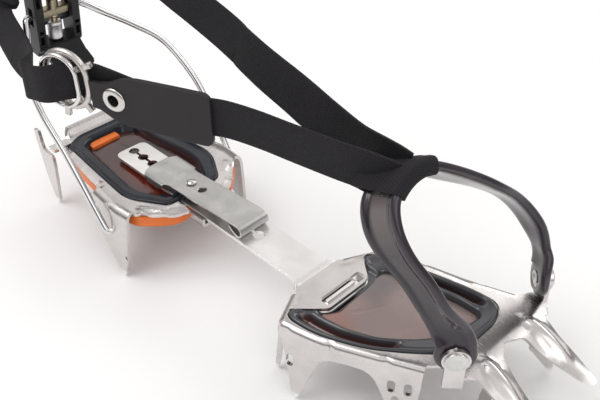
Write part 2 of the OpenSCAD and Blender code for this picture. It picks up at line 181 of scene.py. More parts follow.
def ringFaces(rows, n):
    # quads between closed rings of n points each
    return [(i * n + j, i * n + (j + 1) % n, (i + 1) * n + (j + 1) % n, (i + 1) * n + j)
            for i in range(rows - 1) for j in range(n)]


def capFaces(rows, n):
    return [tuple(range(n))[::-1], tuple((rows - 1) * n + j for j in range(n))]


def joinPieces(name, pieces):
    bpy.ops.object.select_all(action="DESELECT")
    for p in pieces:
        p.select_set(True)
    bpy.context.view_layer.objects.active = pieces[0]
    bpy.ops.object.join()
    pieces[0].name = pieces[0].data.name = name
    return pieces[0]


def addStack(piece, *steps):
    # steps are (type, settings)
    for kind, settings in steps:
        m = piece.modifiers.new(kind.title(), kind)
        for key, value in settings.items():
            setattr(m, key, value)
    return piece


def bakeStack(piece):
    bpy.context.view_layer.update()
    graph = bpy.context.evaluated_depsgraph_get()
    mesh = bpy.data.meshes.new_from_object(piece.evaluated_get(graph))
    piece.modifiers.clear()
    piece.data = mesh
    return piece


def softEdge(width, segments=2, angle=38):
    return ("BEVEL", {"width": width * 0.001, "segments": segments, "limit_method": "ANGLE",
                      "angle_limit": math.radians(angle), "loop_slide": False})


flatShade = ("WEIGHTED_NORMAL", {"keep_sharp": True, "weight": 60})


def wall(thick):
    return ("SOLIDIFY", {"thickness": thick * 0.001, "offset": -1})


def finishPiece(piece, body, material, replaced=()):
    piece.data.materials.clear()
    piece.data.materials.append(material)
    if body:
        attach(piece, body)
    if replaced:
        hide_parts(*replaced)
    return piece


def smoothRoute(points, step):
    # a smooth curve through points in space, sampled about every step
    pts = [Vector(p) for p in points]
    ext = [pts[0] * 2 - pts[1]] + pts + [pts[-1] * 2 - pts[-2]]
    out = []
    for i in range(1, len(ext) - 2):
        a, b, c, d = ext[i - 1:i + 3]
        k = max(2, int((c - b).length / step))
        for j in range(k):
            t = j / k
            out.append(0.5 * ((2 * b) + (c - a) * t + (2 * a - 5 * b + 4 * c - d) * t * t
                              + (3 * b - a - 3 * c + d) * t ** 3))
    return out + [pts[-1]]


def routeTangents(path):
    n = len(path)
    return [(path[min(i + 1, n - 1)] - path[max(i - 1, 0)]).normalized() for i in range(n)]


def sweep(name, path, section, frames, closed=False, marks=None):
    # section is a closed list of (across, out) in mm; frames give (across, out) directions at each point
    k, verts, faces, uvs = 0, [], [], []
    run = 0.0
    lens = [0.0]
    for i in range(1, len(path)):
        run += (path[i] - path[i - 1]).length
        lens.append(run)
    for i, p in enumerate(path):
        a, o = frames[i]
        sec = section(i) if callable(section) else section
        k = len(sec)
        for u, v in sec:
            verts.append(p + a * u + o * v)
            uvs.append((lens[i] * 0.001, u * 0.001))
    n = len(path)
    for i in range(n if closed else n - 1):
        for j in range(k):
            q = (j + 1) % k
            faces.append((i * k + j, i * k + q, ((i + 1) % n) * k + q, ((i + 1) % n) * k + j))
    if not closed:
        faces += capFaces(n, k)
    piece = makeMesh(name, verts, faces, uvs, marks)
    return tidyMesh(piece, gap=0.000001)


def strapSection(width, thick, edge=None):
    # a flat strip's section with rounded edges, as points (across, out)
    e = edge or thick / 2
    w, h = width / 2, thick / 2
    pts = []
    for cx, cy, a0 in ((w - e, h - e, 0), (-w + e, h - e, 90), (-w + e, -h + e, 180), (w - e, -h + e, 270)):
        pts += [(cx + e * math.cos(math.radians(a0 + a)), cy + e * math.sin(math.radians(a0 + a)))
                for a in (0, 30, 60, 90)]
    out = []
    for i, p in enumerate(pts):   # the long sides get points between their ends
        out.append(p)
        q = pts[(i + 1) % len(pts)]
        if abs(q[0] - p[0]) > width / 4:
            out += [(mix(p[0], q[0], t), p[1]) for t in (0.12, 0.3, 0.5, 0.7, 0.88)]
    return out


def strapFrames(path, acrossDir):
    # acrossDir is one direction, or a function of the point's number
    out = []
    for i, t in enumerate(routeTangents(path)):
        d = Vector(acrossDir(i) if callable(acrossDir) else acrossDir)
        a = (d - t * d.dot(t)).normalized()
        out.append((a, t.cross(a)))
    return out


def tube(name, points, radius, step=1.5, sides=16, closed=False, squashed=1.0, side=None):
    path = smoothRoute(points, step) if not closed else [Vector(p) for p in points]
    n = len(path)
    tans = routeTangents(path)
    if closed:
        tans = [(path[(i + 1) % n] - path[i - 1]).normalized() for i in range(n)]
    a = Vector(side) if side else tans[0].orthogonal()
    frames = []
    for t in tans:
        a = ((a if not side else Vector(side)) - t * t.dot(a if not side else Vector(side))).normalized()
        frames.append((a, t.cross(a)))
    section = [(radius * math.cos(2 * math.pi * j / sides), radius * squashed * math.sin(2 * math.pi * j / sides))
               for j in range(sides)]
    return sweep(name, path, section, frames, closed)


def turned(name, profile, centre, axis, steps=48):
    # profile is (radius, height) from top to bottom, turned about the height's axis
    mesh = bpy.data.meshes.new(name)
    mesh.from_pydata([(r * 0.001, 0, z * 0.001) for r, z in profile], [(i, i + 1) for i in range(len(profile) - 1)],
        [])
    piece = bpy.data.objects.new(name, mesh)
    scene.collection.objects.link(piece)
    addStack(piece, ("SCREW", {"steps": steps, "render_steps": steps, "use_merge_vertices": True,
                               "merge_threshold": 0.00001, "use_smooth_shade": True}))
    bakeStack(piece)
    place = Matrix.Translation(Vector(centre) * 0.001) @ Vector((0, 0,
        1)).rotation_difference(Vector(axis)).to_matrix().to_4x4()
    piece.data.transform(place)
    tidyMesh(piece)
    piece.data.set_sharp_from_angle(angle=math.radians(40))
    return piece


# camera
view = {"place": (203.1, -214.1, 279.0), "round": 45.13, "up": 38.02, "roll": -0.29, "lens": 47.0}
a, e = math.radians(view["round"]), math.radians(view["up"])
back = Vector((math.sin(a) * math.cos(e), -math.cos(a) * math.cos(e), math.sin(e)))
right = Vector((0, 0, 1)).cross(back).normalized()
turn = Matrix((right, back.cross(right), back)).transposed() @ Matrix.Rotation(math.radians(view["roll"]), 3, "Z")
camera = bpy.data.objects.new("camera", bpy.data.cameras.new("camera"))
camera.data.lens, camera.data.sensor_width = view["lens"], 36
camera.data.clip_start = 0.01
camera.matrix_world = Matrix.Translation(Vector(view["place"]) * 0.001) @ turn.to_4x4()
scene.collection.objects.link(camera)
scene.camera = camera
print("camera set")


# light and floor
light = {"world": 1.05, "key": 8.2, "fill": 2.2, "edge": 4.0}
scene.view_settings.view_transform = "Standard"
world = bpy.data.worlds.new("studio")
scene.world = world
world.use_nodes = True
wt = world.node_tree
wt.nodes.clear()
wOut = wt.nodes.new("ShaderNodeOutputWorld")
wBack = wt.nodes.new("ShaderNodeBackground")
wCoord = wt.nodes.new("ShaderNodeTexCoord")
wSplit = wt.nodes.new("ShaderNodeSeparateXYZ")
wRamp = wt.nodes.new("ShaderNodeValToRGB")
wt.links.new(wCoord.outputs["Generated"], wSplit.inputs[0])
wt.links.new(wSplit.outputs["Z"], wRamp.inputs[0])
wt.links.new(wRamp.outputs[0], wBack.inputs["Color"])
wt.links.new(wBack.outputs[0], wOut.inputs[0])
wBack.inputs["Strength"].default_value = light["world"]
ramp = wRamp.color_ramp
ramp.elements[0].position, ramp.elements[0].color = 0.0, (0.42, 0.405, 0.40, 1)
ramp.elements[1].position, ramp.elements[1].color = 1.0, (0.75, 0.74, 0.74, 1)
for at, tone in ((0.10, 0.16), (0.30, 0.20), (0.48, 0.80), (0.66, 1.05), (0.82, 0.55)):
    el = ramp.elements.new(at)
    el.color = (tone, tone * 0.975, tone * 0.965, 1)


def softbox(name, place, aim, size, power):
    data = bpy.data.lights.new(name, "AREA")
    data.shape, data.size, data.size_y, data.energy = "RECTANGLE", size[0], size[1], power
    lamp = bpy.data.objects.new(name, data)
    lamp.location = place
    lamp.rotation_euler = (Vector(aim) - Vector(place)).to_track_quat("-Z", "Y").to_euler()
    scene.collection.objects.link(lamp)


softbox("keyLight", (-0.5, -0.6, 1.3), (-0.05, 0, 0), (1.0, 0.8), light["key"])
softbox("fillLight", (1.1, -0.3, 0.7), (0, 0, 0), (0.7, 0.9), light["fill"])
softbox("edgeLight", (0.1, 1.2, 0.8), (0, 0, 0), (1.4, 0.5), light["edge"])
floorZ = cadBox[0][2]
floor = bpy.data.objects.new("floor", bpy.data.meshes.new("floor"))
floor.data.from_pydata([(-6, -6, floorZ - 0.0006), (6, -6, floorZ - 0.0006), (6, 6, floorZ - 0.0006),
    (-6, 6, floorZ - 0.0006)], [], [(0, 1, 2, 3)])
scene.collection.objects.link(floor)


# materials
def link(tree, sock, value):
    if isinstance(value, bpy.types.NodeSocket):
        tree.links.new(value, sock)
    elif value is not None:
        sock.default_value = value


def node(tree, kind, props=None, ins=(), **named):
    n = tree.nodes.new("ShaderNode" + kind)
    for key, value in (props or {}).items():
        setattr(n, key, value)
    for i, value in enumerate(ins):
        link(tree, n.inputs[i], value)
    for key, value in named.items():
        link(tree, n.inputs[key], value)
    return n


def ramped(tree, value, stops):
    # a colour ramp over value; stops are (place, colour or grey)
    n = node(tree, "ValToRGB", ins=[value])
    while len(n.color_ramp.elements) < len(stops):
        n.color_ramp.elements.new(0.5)
    for el, (at, tone) in zip(n.color_ramp.elements, stops):
        el.position = at
        el.color = (*tone, 1) if hasattr(tone, "__len__") else (tone, tone, tone, 1)
    return n.outputs[0]


def blended(tree, factor, a, b, mode="MIX"):
    n = node(tree, "Mix", {"data_type": "RGBA", "blend_type": mode})
    link(tree, n.inputs[0], factor)
    for sock, value in ((n.inputs[6], a), (n.inputs[7], b)):
        link(tree, sock, (*value, 1) if isinstance(value, tuple) and len(value) == 3 else value)
    return n.outputs[2]


def ranged(tree, value, low, high, start=0.0, end=1.0):
    return node(tree, "MapRange", ins=[value, start, end, low, high]).outputs[0]


def makeGroup(name, inputs, outputs):
    g = bpy.data.node_groups.new(name, "ShaderNodeTree")
    for n, kind in inputs:
        g.interface.new_socket(n, in_out="INPUT", socket_type=kind)
    for n, kind in outputs:
        g.interface.new_socket(n, in_out="OUTPUT", socket_type=kind)
    return g, g.nodes.new("NodeGroupInput"), g.nodes.new("NodeGroupOutput")


# rolled or brushed grain, handling smudges and fine scratches on bare metal
grainGroup, gIn, gOut = makeGroup("metalGrain", [("Place", "NodeSocketVector"), ("Stretch", "NodeSocketVector")],
                                  [("Grain", "NodeSocketFloat"), ("Smudge", "NodeSocketFloat"),
                                  ("Scratch", "NodeSocketFloat")])
stretched = node(grainGroup, "Mapping", ins=[gIn.outputs[0], (0, 0, 0), (0, 0, 0)], Scale=gIn.outputs[1])
fine = node(grainGroup, "TexNoise", Vector=stretched.outputs[0], Scale=900.0, Detail=4.0, Roughness=0.65)
smudge = node(grainGroup, "TexNoise", Vector=gIn.outputs[0], Scale=55.0, Detail=3.0, Distortion=0.6)
scratchWarp = node(grainGroup, "Mapping", ins=[gIn.outputs[0], (0, 0, 0), (0.4, 0.2, 0.7), (1, 14, 9)])
scratch = node(grainGroup, "TexNoise", Vector=scratchWarp.outputs[0], Scale=120.0, Detail=2.0)
link(grainGroup, gOut.inputs[0], fine.outputs[0])
link(grainGroup, gOut.inputs[1], smudge.outputs[0])
link(grainGroup, gOut.inputs[2], ramped(grainGroup, scratch.outputs[0], [(0.0, 0.0), (0.66, 0.0), (0.72, 1.0)]))

# mottled plastic: slow tone changes and a fine moulded skin
skinGroup, sIn, sOut = makeGroup("mouldedSkin", [("Place", "NodeSocketVector")],
                                 [("Tone", "NodeSocketFloat"), ("Pores", "NodeSocketFloat")])
tone = node(skinGroup, "TexNoise", Vector=sIn.outputs[0], Scale=38.0, Detail=2.0)
pores = node(skinGroup, "TexNoise", Vector=sIn.outputs[0], Scale=1500.0, Detail=2.0)
link(skinGroup, sOut.inputs[0], tone.outputs[0])
link(skinGroup, sOut.inputs[1], pores.outputs[0])


def startMaterial(name):
    m = bpy.data.materials.new(name)
    m.use_nodes = True
    tree = m.node_tree
    tree.nodes.clear()
    shader = tree.nodes.new("ShaderNodeBsdfPrincipled")
    out = tree.nodes.new("ShaderNodeOutputMaterial")
    tree.links.new(shader.outputs[0], out.inputs[0])
    return m, tree, shader, node(tree, "TexCoord").outputs["Object"]


def useGroup(tree, group, *ins):
    n = tree.nodes.new("ShaderNodeGroup")
    n.node_tree = group
    for i, value in enumerate(ins):
        link(tree, n.inputs[i], value)
    return n.outputs


def addBump(tree, shader, height, strength, depth):
    b = node(tree, "Bump", Height=height, Strength=strength, Distance=depth)
    link(tree, shader.inputs["Normal"], b.outputs[0])


def mark(tree, name):
    return node(tree, "Attribute", {"attribute_name": name}).outputs["Fac"]


def metalFinish(name, s):
    # s: tone, dark tone, rough low and high, stretch of the grain, bump
    m, tree, shader, place = startMaterial(name)
    grain = useGroup(tree, grainGroup, place, s["stretch"])
    colour = blended(tree, ranged(tree, grain[1], 0, 1, 0.35, 0.7), s["tone"], s["dark"])
    colour = blended(tree, ranged(tree, grain[0], 0, s.get("grainMix", 0.25), 0.3, 0.7), colour, s["dark"])
    rough = node(tree, "Math", {"operation": "ADD", "use_clamp": True},
                 [ranged(tree, grain[1], s["rough"][0], s["rough"][1], 0.3, 0.7), ranged(tree, grain[2], 0, 0.12)])
    if s.get("ground"):
        g = mark(tree, "ground")
        colour = blended(tree, g, colour, s["ground"])
        rough2 = node(tree, "Mix", {"data_type": "FLOAT"})
        link(tree, rough2.inputs[0], g)
        link(tree, rough2.inputs[2], rough.outputs[0])
        link(tree, rough2.inputs[3], 0.22)
        rough = rough2
    link(tree, shader.inputs["Base Color"], colour)
    link(tree, shader.inputs["Roughness"], rough.outputs[0])
    shader.inputs["Metallic"].default_value = 1.0
    if s.get("anisotropic"):
        shader.inputs["Anisotropic"].default_value = s["anisotropic"]
    addBump(tree, shader, node(tree, "Math", {"operation": "MULTIPLY_ADD"}, [grain[2], 0.15, grain[0]]).outputs[0],
        s["bump"], 0.00006)
    return m


stampedSteel = metalFinish("stampedSteel", {"tone": (0.71, 0.685, 0.67), "dark": (0.63, 0.60, 0.59),
                                            "rough": (0.22, 0.29), "stretch": (1.0, 1.0, 1.0), "bump": 0.08,
                                            "grainMix": 0.1, "ground": (0.93, 0.925, 0.92)})
barSteel = metalFinish("barSteel", {"tone": (0.93, 0.92, 0.91), "dark": (0.84, 0.825, 0.81), "rough": (0.24, 0.36),
                                    "stretch": (0.05, 1.0, 1.0), "bump": 0.15, "grainMix": 0.3})
clipSteel = metalFinish("clipSteel", {"tone": (0.70, 0.70, 0.68), "dark": (0.54, 0.54, 0.525), "rough": (0.26, 0.38),
                                      "stretch": (0.04, 1.0, 1.0), "bump": 0.25, "grainMix": 0.5})
barrelMetal = metalFinish("barrelMetal", {"tone": (0.92, 0.91, 0.92), "dark": (0.85, 0.84, 0.85),
    "rough": (0.42, 0.52), "stretch": (1, 1, 1), "bump": 0.05})
brightMetal = metalFinish("brightMetal", {"tone": (0.78, 0.765, 0.75), "dark": (0.62, 0.60, 0.58),
    "rough": (0.12, 0.24),
                                          "stretch": (1.0, 1.0, 1.0), "bump": 0.08})
castMetal = metalFinish("castMetal", {"tone": (0.72, 0.69, 0.67), "dark": (0.52, 0.49, 0.47), "rough": (0.24, 0.4),
                                      "stretch": (0.6, 0.6, 0.6), "bump": 0.35})
wireSteel = metalFinish("wireSteel", {"tone": (0.80, 0.80, 0.80), "dark": (0.66, 0.66, 0.67), "rough": (0.06, 0.14),
                                      "stretch": (0.2, 0.2, 0.2), "bump": 0.05})
threadBrass = metalFinish("threadBrass", {"tone": (0.46, 0.41, 0.30), "dark": (0.30, 0.26, 0.18),
    "rough": (0.25, 0.4),
                                          "stretch": (1.0, 1.0, 0.4), "bump": 0.2})


def plasticFinish(name, s):
    # s: tone, second tone, rough, coat, optional marks that tint it, among them painted shade, painted glints and
    # painted reflection
    m, tree, shader, place = startMaterial(name)
    skin = useGroup(tree, skinGroup, place)
    colour = blended(tree, ranged(tree, skin[0], 0, 1, 0.35, 0.65), s["tone"], s["second"])
    for key, tint in s.get("marks", {}).items():
        colour = blended(tree, mark(tree, key), colour, tint)
    link(tree, shader.inputs["Base Color"], colour)
    link(tree, shader.inputs["Roughness"], ranged(tree, skin[0], s["rough"][0], s["rough"][1], 0.3, 0.7))
    shader.inputs["Coat Weight"].default_value = s.get("coat", 0.0)
    shader.inputs["Coat Roughness"].default_value = s.get("coatRough", 0.06)
    shader.inputs["IOR"].default_value = s.get("ior", 1.5)
    shader.inputs["Specular IOR Level"].default_value = s.get("shine", 0.5)
    if "clear" in s:
        shader.inputs["Transmission Weight"].default_value = s["clear"]
    if "glow" in s:
        shader.inputs["Subsurface Weight"].default_value = s["glow"]
        shader.inputs["Subsurface Scale"].default_value = 0.004
    addBump(tree, shader, skin[1], s.get("bump", 0.05), 0.00006)
    return m


# the rings' dark mark is painted shade in the channels and in the inner corner against the membrane; the tinted mark
# is painted red-brown glints in the channels
slatePlastic = plasticFinish("slatePlastic", {"tone": (0.040, 0.042, 0.049), "second": (0.052, 0.054, 0.060),
    "rough": (0.16, 0.26),
                                              "coat": 0.6, "marks": {"paintedShade": (0.010, 0.009, 0.012),
                                              "tinted": (0.10, 0.022, 0.012)}})
roseMembrane = plasticFinish("roseMembrane", {"tone": (0.30, 0.215, 0.20), "second": (0.235, 0.18, 0.175),
    "rough": (0.24, 0.4),
                                              "coat": 0.4, "marks": {"tinted": (0.30, 0.15, 0.12),
                                              "cool": (0.12, 0.115, 0.12)}})
# tinted: painted reddish glints on the rear ring's inner wall above the membrane
blackPlastic = plasticFinish("blackPlastic", {"tone": (0.010, 0.012, 0.018), "second": (0.020, 0.023, 0.032),
    "rough": (0.1, 0.2),
                                              "coat": 0.22, "shine": 0.25, "marks": {"tinted": (0.10, 0.018, 0.008)}})
maroonMembrane = plasticFinish("maroonMembrane", {"tone": (0.055, 0.018, 0.015), "second": (0.035, 0.015, 0.016),
    "rough": (0.2, 0.35),
                                                  "coat": 0.5, "marks": {"tinted": (0.20, 0.028, 0.012)}})
orangePlastic = plasticFinish("orangePlastic", {"tone": (0.86, 0.20, 0.025), "second": (0.74, 0.155, 0.02),
    "rough": (0.3, 0.45),
                                                "glow": 0.15})
# panel: painted reflection and light through the strap, lighter towards the top; deep: painted shade along the recess
# edges and lower in the recess
smokeElastomer = plasticFinish("smokeElastomer", {"tone": (0.030, 0.025, 0.032), "second": (0.040, 0.034, 0.042),
    "rough": (0.16, 0.26),
                                                  "coat": 0.3, "coatRough": 0.05, "shine": 0.4,
                                                  "marks": {"panel": (0.125, 0.105, 0.105),
                                                  "deep": (0.018, 0.014, 0.018)}})
leverPlastic = plasticFinish("leverPlastic", {"tone": (0.010, 0.010, 0.011), "second": (0.016, 0.016, 0.018),
    "rough": (0.3, 0.45), "shine": 0.32, "bump": 0.3})
patchRubber = plasticFinish("patchRubber", {"tone": (0.022, 0.020, 0.022), "second": (0.029, 0.027, 0.029),
    "rough": (0.5, 0.66), "shine": 0.26, "bump": 0.5})


def webbingFinish(name, s):
    m, tree, shader, place = startMaterial(name)
    run = node(tree, "UVMap", {"uv_map": "run"}).outputs[0]
    split = node(tree, "SeparateXYZ", ins=[run])

    def wave(u, v, sharp):
        along = node(tree, "Math", {"operation": "MULTIPLY"}, [split.outputs[0], u])
        over = node(tree, "Math", {"operation": "MULTIPLY_ADD"}, [split.outputs[1], v, along.outputs[0]])
        sine = node(tree, "Math", {"operation": "SINE"}, [over.outputs[0]])
        return ranged(tree, sine.outputs[0], 0, 1, -sharp, sharp)
    cord = 2 * math.pi / s["cord"]
    twill = node(tree, "Math", {"operation": "MULTIPLY"}, [wave(cord, cord * 0.5, 1), wave(cord * 0.35, -cord, 1)])
    fuzz = node(tree, "TexNoise", Vector=place, Scale=2600.0, Detail=2.0)
    wearTone = node(tree, "TexNoise", Vector=place, Scale=60.0, Detail=3.0)
    base = blended(tree, ranged(tree, wearTone.outputs[0], 0, 1, 0.35, 0.68), s["tone"], s["worn"])
    colour = blended(tree, twill.outputs[0], base, s["thread"])
    colour = blended(tree, ranged(tree, fuzz.outputs[0], 0, 0.35, 0.5, 0.75), colour, s["lint"])
    link(tree, shader.inputs["Base Color"], colour)
    shader.inputs["Roughness"].default_value = 0.72
    shader.inputs["Specular IOR Level"].default_value = 0.22
    shader.inputs["Sheen Weight"].default_value = 0.02
    shader.inputs["Sheen Roughness"].default_value = 0.4
    both = node(tree, "Math", {"operation": "MULTIPLY_ADD"}, [fuzz.outputs[0], 0.3, twill.outputs[0]])
    addBump(tree, shader, both.outputs[0], 0.7, 0.00022)
    return m


webbing = webbingFinish("webbing", {"cord": 0.0011, "tone": (0.010, 0.0095, 0.011), "worn": (0.014, 0.013, 0.015),
                                    "thread": (0.026, 0.0235, 0.027), "lint": (0.034, 0.031, 0.034)})
floorPaint, fTree, fShader, fPlace = startMaterial("floorPaint")
floorNoise = node(fTree, "TexNoise", Vector=fPlace, Scale=3.0)
link(fTree, fShader.inputs["Base Color"], ramped(fTree, floorNoise.outputs[0], [(0.3, 0.93), (0.7, 0.95)]))
fShader.inputs["Roughness"].default_value = 0.8
floor.data.materials.append(floorPaint)
print("materials made")

# front frame: a flat plate, down-turned rims and hooded front points
frontSteel = {
    "sheet": 2.0, "bend": 3.4, "lean": 6.0, "step": 1.9, "crease": 36,
    "nearRim": [(0, -19), (9, -37, 5), (12.5, -37.8, 3), (33.5, -32.8, 9), (56.5, -22.2, 6), (79, -11.5)],
    "farRim": [(0, 19), (9, 37, 5), (12.5, 38.8, 3), (33, 47.1, 9), (57, 53, 6), (80.5, 61.2)],
    "pointTurn": 5.0, "midY": 30.5,
    "pointHalf": [(0, 9.4), (8, 8.6), (16, 7.3), (24, 5.7), (31, 4.1), (36.6, 2.9), (37.8, 2.1)],
}
tipDepth = 44.0


def offsetRim(points, radius, side):
    path = softPath(points, 5, frontSteel["step"])
    out = []
    for i, p in enumerate(path):
        t = (path[min(i + 1, len(path) - 1)] - path[max(i - 1, 0)]).normalized()
        outward = Vector((t.y, -t.x)) if side < 0 else Vector((-t.y, t.x))
        q = p - outward * radius
        if not out or (q - out[-1][0]).length > 0.5:
            out.append((q, outward))
    return out


def flange(name, rim, outline, radius, lean, step, gussets=(), base=0.0, mark="ground"):
    # rim is [(point, outward)]; outline is (distance along, height) under the bend, from the start to the end
    stops = [0.0]
    for i in range(1, len(rim)):
        stops.append(stops[-1] + (rim[i][0] - rim[i - 1][0]).length)
    total = stops[-1]
    ang = math.radians(90 - lean)
    drop0, arc = radius * (1 - math.cos(ang)), radius * ang

    def depth(z):
        return arc + (-z - drop0) / math.sin(ang)
    lower = []
    for p in outline:
        s = total + p[0] if len(p) > 3 and p[3] else p[0]
        lower.append((s, depth(p[1]), p[2] if len(p) > 2 else 1.6))
    lower = softPath([(0, 0.01)] + lower + [(total, 0.01)], 1.6, step)
    loop = [Vector((s, 0)) for s in stops] + lower[::-1][1:-1]
    verts, faces = fillSheet([loop], step)
    made, marks = [], []
    for v in verts:
        s, t = v.x, max(v.y, 0.0)
        i = 0
        while i < len(stops) - 2 and stops[i + 1] < s:
            i += 1
        k = (s - stops[i]) / (stops[i + 1] - stops[i])
        p = mix(rim[i][0], rim[i + 1][0], k)
        o = mix(rim[i][1], rim[i + 1][1], min(max(k, 0), 1)).normalized()
        b = min(t / radius, ang)
        out = radius * math.sin(b) + max(t - arc, 0) * math.cos(ang)
        z = -radius * (1 - math.cos(b)) - max(t - arc, 0) * math.sin(ang)
        for gs, wide, t0, t1, deep in gussets:
            gs = total + gs if gs < 0 else gs
            if t0 < t < t1:
                d = deep * math.exp(-((s - gs) / wide) ** 2) * math.sin(math.pi * (t - t0) / (t1 - t0))
                out -= d * math.sin(b)
                z -= d * math.cos(b)
        made.append((p.x + o.x * out, p.y + o.y * out, z + base))
        marks.append(ease((-z - tipDepth + 5) / 3))
    return makeMesh(name, made, faces, marks={mark: marks})


def pointAxis(side):
    turn = math.radians(frontSteel["pointTurn"]) * side
    return Vector((98, frontSteel["midY"] + side * 18.3)), Vector((math.cos(turn), math.sin(turn)))


def pointEdges(side):
    # the outline of a front point in plan, from its outer root to its inner root
    root, run = pointAxis(side)
    over = Vector((-run.y, run.x)) * side
    outer = [root + run * u * 0.925 + over * w for u, w in frontSteel["pointHalf"]]
    inner = [root + run * u * 0.925 - over * w for u, w in frontSteel["pointHalf"]]
    return outer + inner[::-1]


def frontLift(x, y):
    # height of the front frame's top face: the points slope down, and a leaf-shaped rib stiffens each
    d = max(x - 93, 0)
    z = -0.475 * (d - 2.6 * (1 - math.exp(-d / 2.6)))
    for side in (-1, 1):
        root, run = pointAxis(side)
        rel = Vector((x, y)) - root
        u, v = rel.dot(run), rel.dot(Vector((-run.y, run.x)))
        if abs(v) < 14:
            z -= 0.034 * v * v * ease((u + 2) / 16)
            leaf = (u + 8) / 31
            if 0 < leaf < 1:
                wide = 4.9 * math.sin(math.pi * leaf) ** 0.75
                if abs(v) < wide:
                    z += 3.3 * math.sin(math.pi * leaf) ** 0.8 * (1 - (v / wide) ** 2)
    return z


def ribLift(x, y, lines, high, wide):
    # raised line along polylines
    best = 1e9
    for line in lines:
        for i in range(len(line) - 1):
            a, b = Vector(line[i]), Vector(line[i + 1])
            p = Vector((x, y))
            t = min(max((p - a).dot(b - a) / (b - a).length_squared, 0), 1)
            best = min(best, (p - a - (b - a) * t).length)
    return high * math.exp(-(best / wide) ** 2)


def buildFrontFrame():
    s = frontSteel
    near, far = offsetRim(s["nearRim"], s["bend"], -1), offsetRim(s["farRim"], s["bend"], 1)
    pn, pf = pointEdges(-1), pointEdges(1)
    # near side to the toe, across the two points, then back along the far side
    front = [near[-1][0], (79.5, -6.6), (82, -3.4, 3), (85.2, -4.2, 2), (86.6, -8.4), (94.8, -1.2), (98, 1.2, 2)] \
        + [tuple(p) + (3,) for p in pn] + [(98, 24.0, 3), (95.4, 27.5, 3), (95.2, 31, 3), (97.6, 35.5, 3)] \
        + [tuple(p) + (3,) for p in pf[::-1]] + [(99.5, 60.5, 2), (95.5, 65.8), (88.0, 70.8), (85.8, 66.2, 2),
            (83.4, 62.5, 3), (80.6, 60.5), far[-1][0]]
    front = softPath(front, 2, s["step"])
    rear = softPath([far[0][0], (0.4, 16.2, 1.5), (0, 13), (0, -13), (0.4, -16.2, 1.5), near[0][0]], 1.5, s["step"])
    outer = [p for p, _ in near] + front[1:] + [p for p, _ in far[::-1]][1:] + rear[1:-1]
    hole = softPath([(9, -31, 2), (14, -32.5, 2), (24, -31.5, 4), (34, -28.8, 6), (52, -20.5, 8), (66, -9.8, 6),
        (74, -2.8, 6),
                     (81, 4, 5), (85, 14, 5), (85.5, 36, 5), (83, 44, 4), (77, 48.5, 4), (64, 47.5, 6), (48, 44, 8),
                     (32, 40, 8), (18, 35.5, 5), (10, 31.5, 2.5), (8, 27, 2.5), (13, 22.5, 3), (19.5, 17.5, 2),
                     (21.5, 14, 2),
                     (21.5, -13, 2), (19.5, -15.5, 2), (13, -22.5, 3), (8, -27, 2.5)], 3, s["step"], True)
    slot = softPath([(13.8, -12.4), (19.6, -12.4), (19.6, 16.4), (13.8, 16.4)], 1.8, 1.2, True)
    verts, faces = fillSheet([outer, hole, slot], s["step"])
    ribs = [[(4, -15), (10.5, -33)], [(4, 15), (10.5, 33.8)]]
    dent = [[(24, -33.4), (40, -28.6), (56, -21)], [(22, 40.6), (40, 46), (60, 50.5)]]
    top, marks = [], []
    for v in verts:
        z = frontLift(v.x, v.y) + ribLift(v.x, v.y, ribs, 0.5, 1.2) - ribLift(v.x, v.y, dent, 0.35, 0.7)
        top.append((v.x, v.y, z))
        marks.append(ease((v.x - 127) / 2.5))
    parts = [makeMesh("plate", top, faces, marks={"ground": marks})]
    outline = [(1, -6.5), (6.8, -9), (9.0, -14), (10.4, -36), (11.4, -43.4, .8), (12.8, -43.6, .8), (14.2, -38),
        (16.2, -10), (18.4, -7, 3),
               (19.8, -8, 3), (22.4, -20), (25.8, -36.6), (26.4, -38.6, .4), (28.6, -44, .9), (31.4, -41, 2),
               (37, -22, 6), (40.2, -13, 4),
               (44, -10.4, 4), (52, -9.4, 6), (62, -10, 4),
               (-25.2, -11.5, 4, 1), (-22.4, -14, 4, 1), (-17.4, -24, 6, 1), (-10.6, -40, 2, 1), (-7.6, -44, .9, 1),
               (-5.4, -42, 1.4, 1),
               (-1.6, -24, 5, 1), (-0.6, -12, 3, 1), (-0.6, -6, 2, 1)]
    for rim, nm in ((near, "nearRim"), (far, "farRim")):
        gussets = [(21.5, 1.3, 1, 11, 0.9), (44.5, 1.0, 0.5, 12, 1.2), (-18.0, 1.2, 0.5, 10, 0.8)]
        parts.append(flange(nm, rim, outline, s["bend"], s["lean"], 1.7, gussets))
    shell = joinPieces("shell", parts)
    tidyMesh(shell, up=Vector((0, 0, 1)))
    frameShell = joinPieces("frontFrame", [shell])
    addStack(frameShell, wall(s["sheet"]))
    bakeStack(frameShell)
    cutHoles(frameShell)
    lugs = [lugPlate(side) for side in (-1, 1)]
    whole = joinPieces("frontFrame", [frameShell] + lugs + [secondPoint(-1), secondPoint(1)])
    whole.data.set_sharp_from_angle(angle=math.radians(s["crease"]))
    return finishPiece(whole, "front", stampedSteel, ["front_frame"])


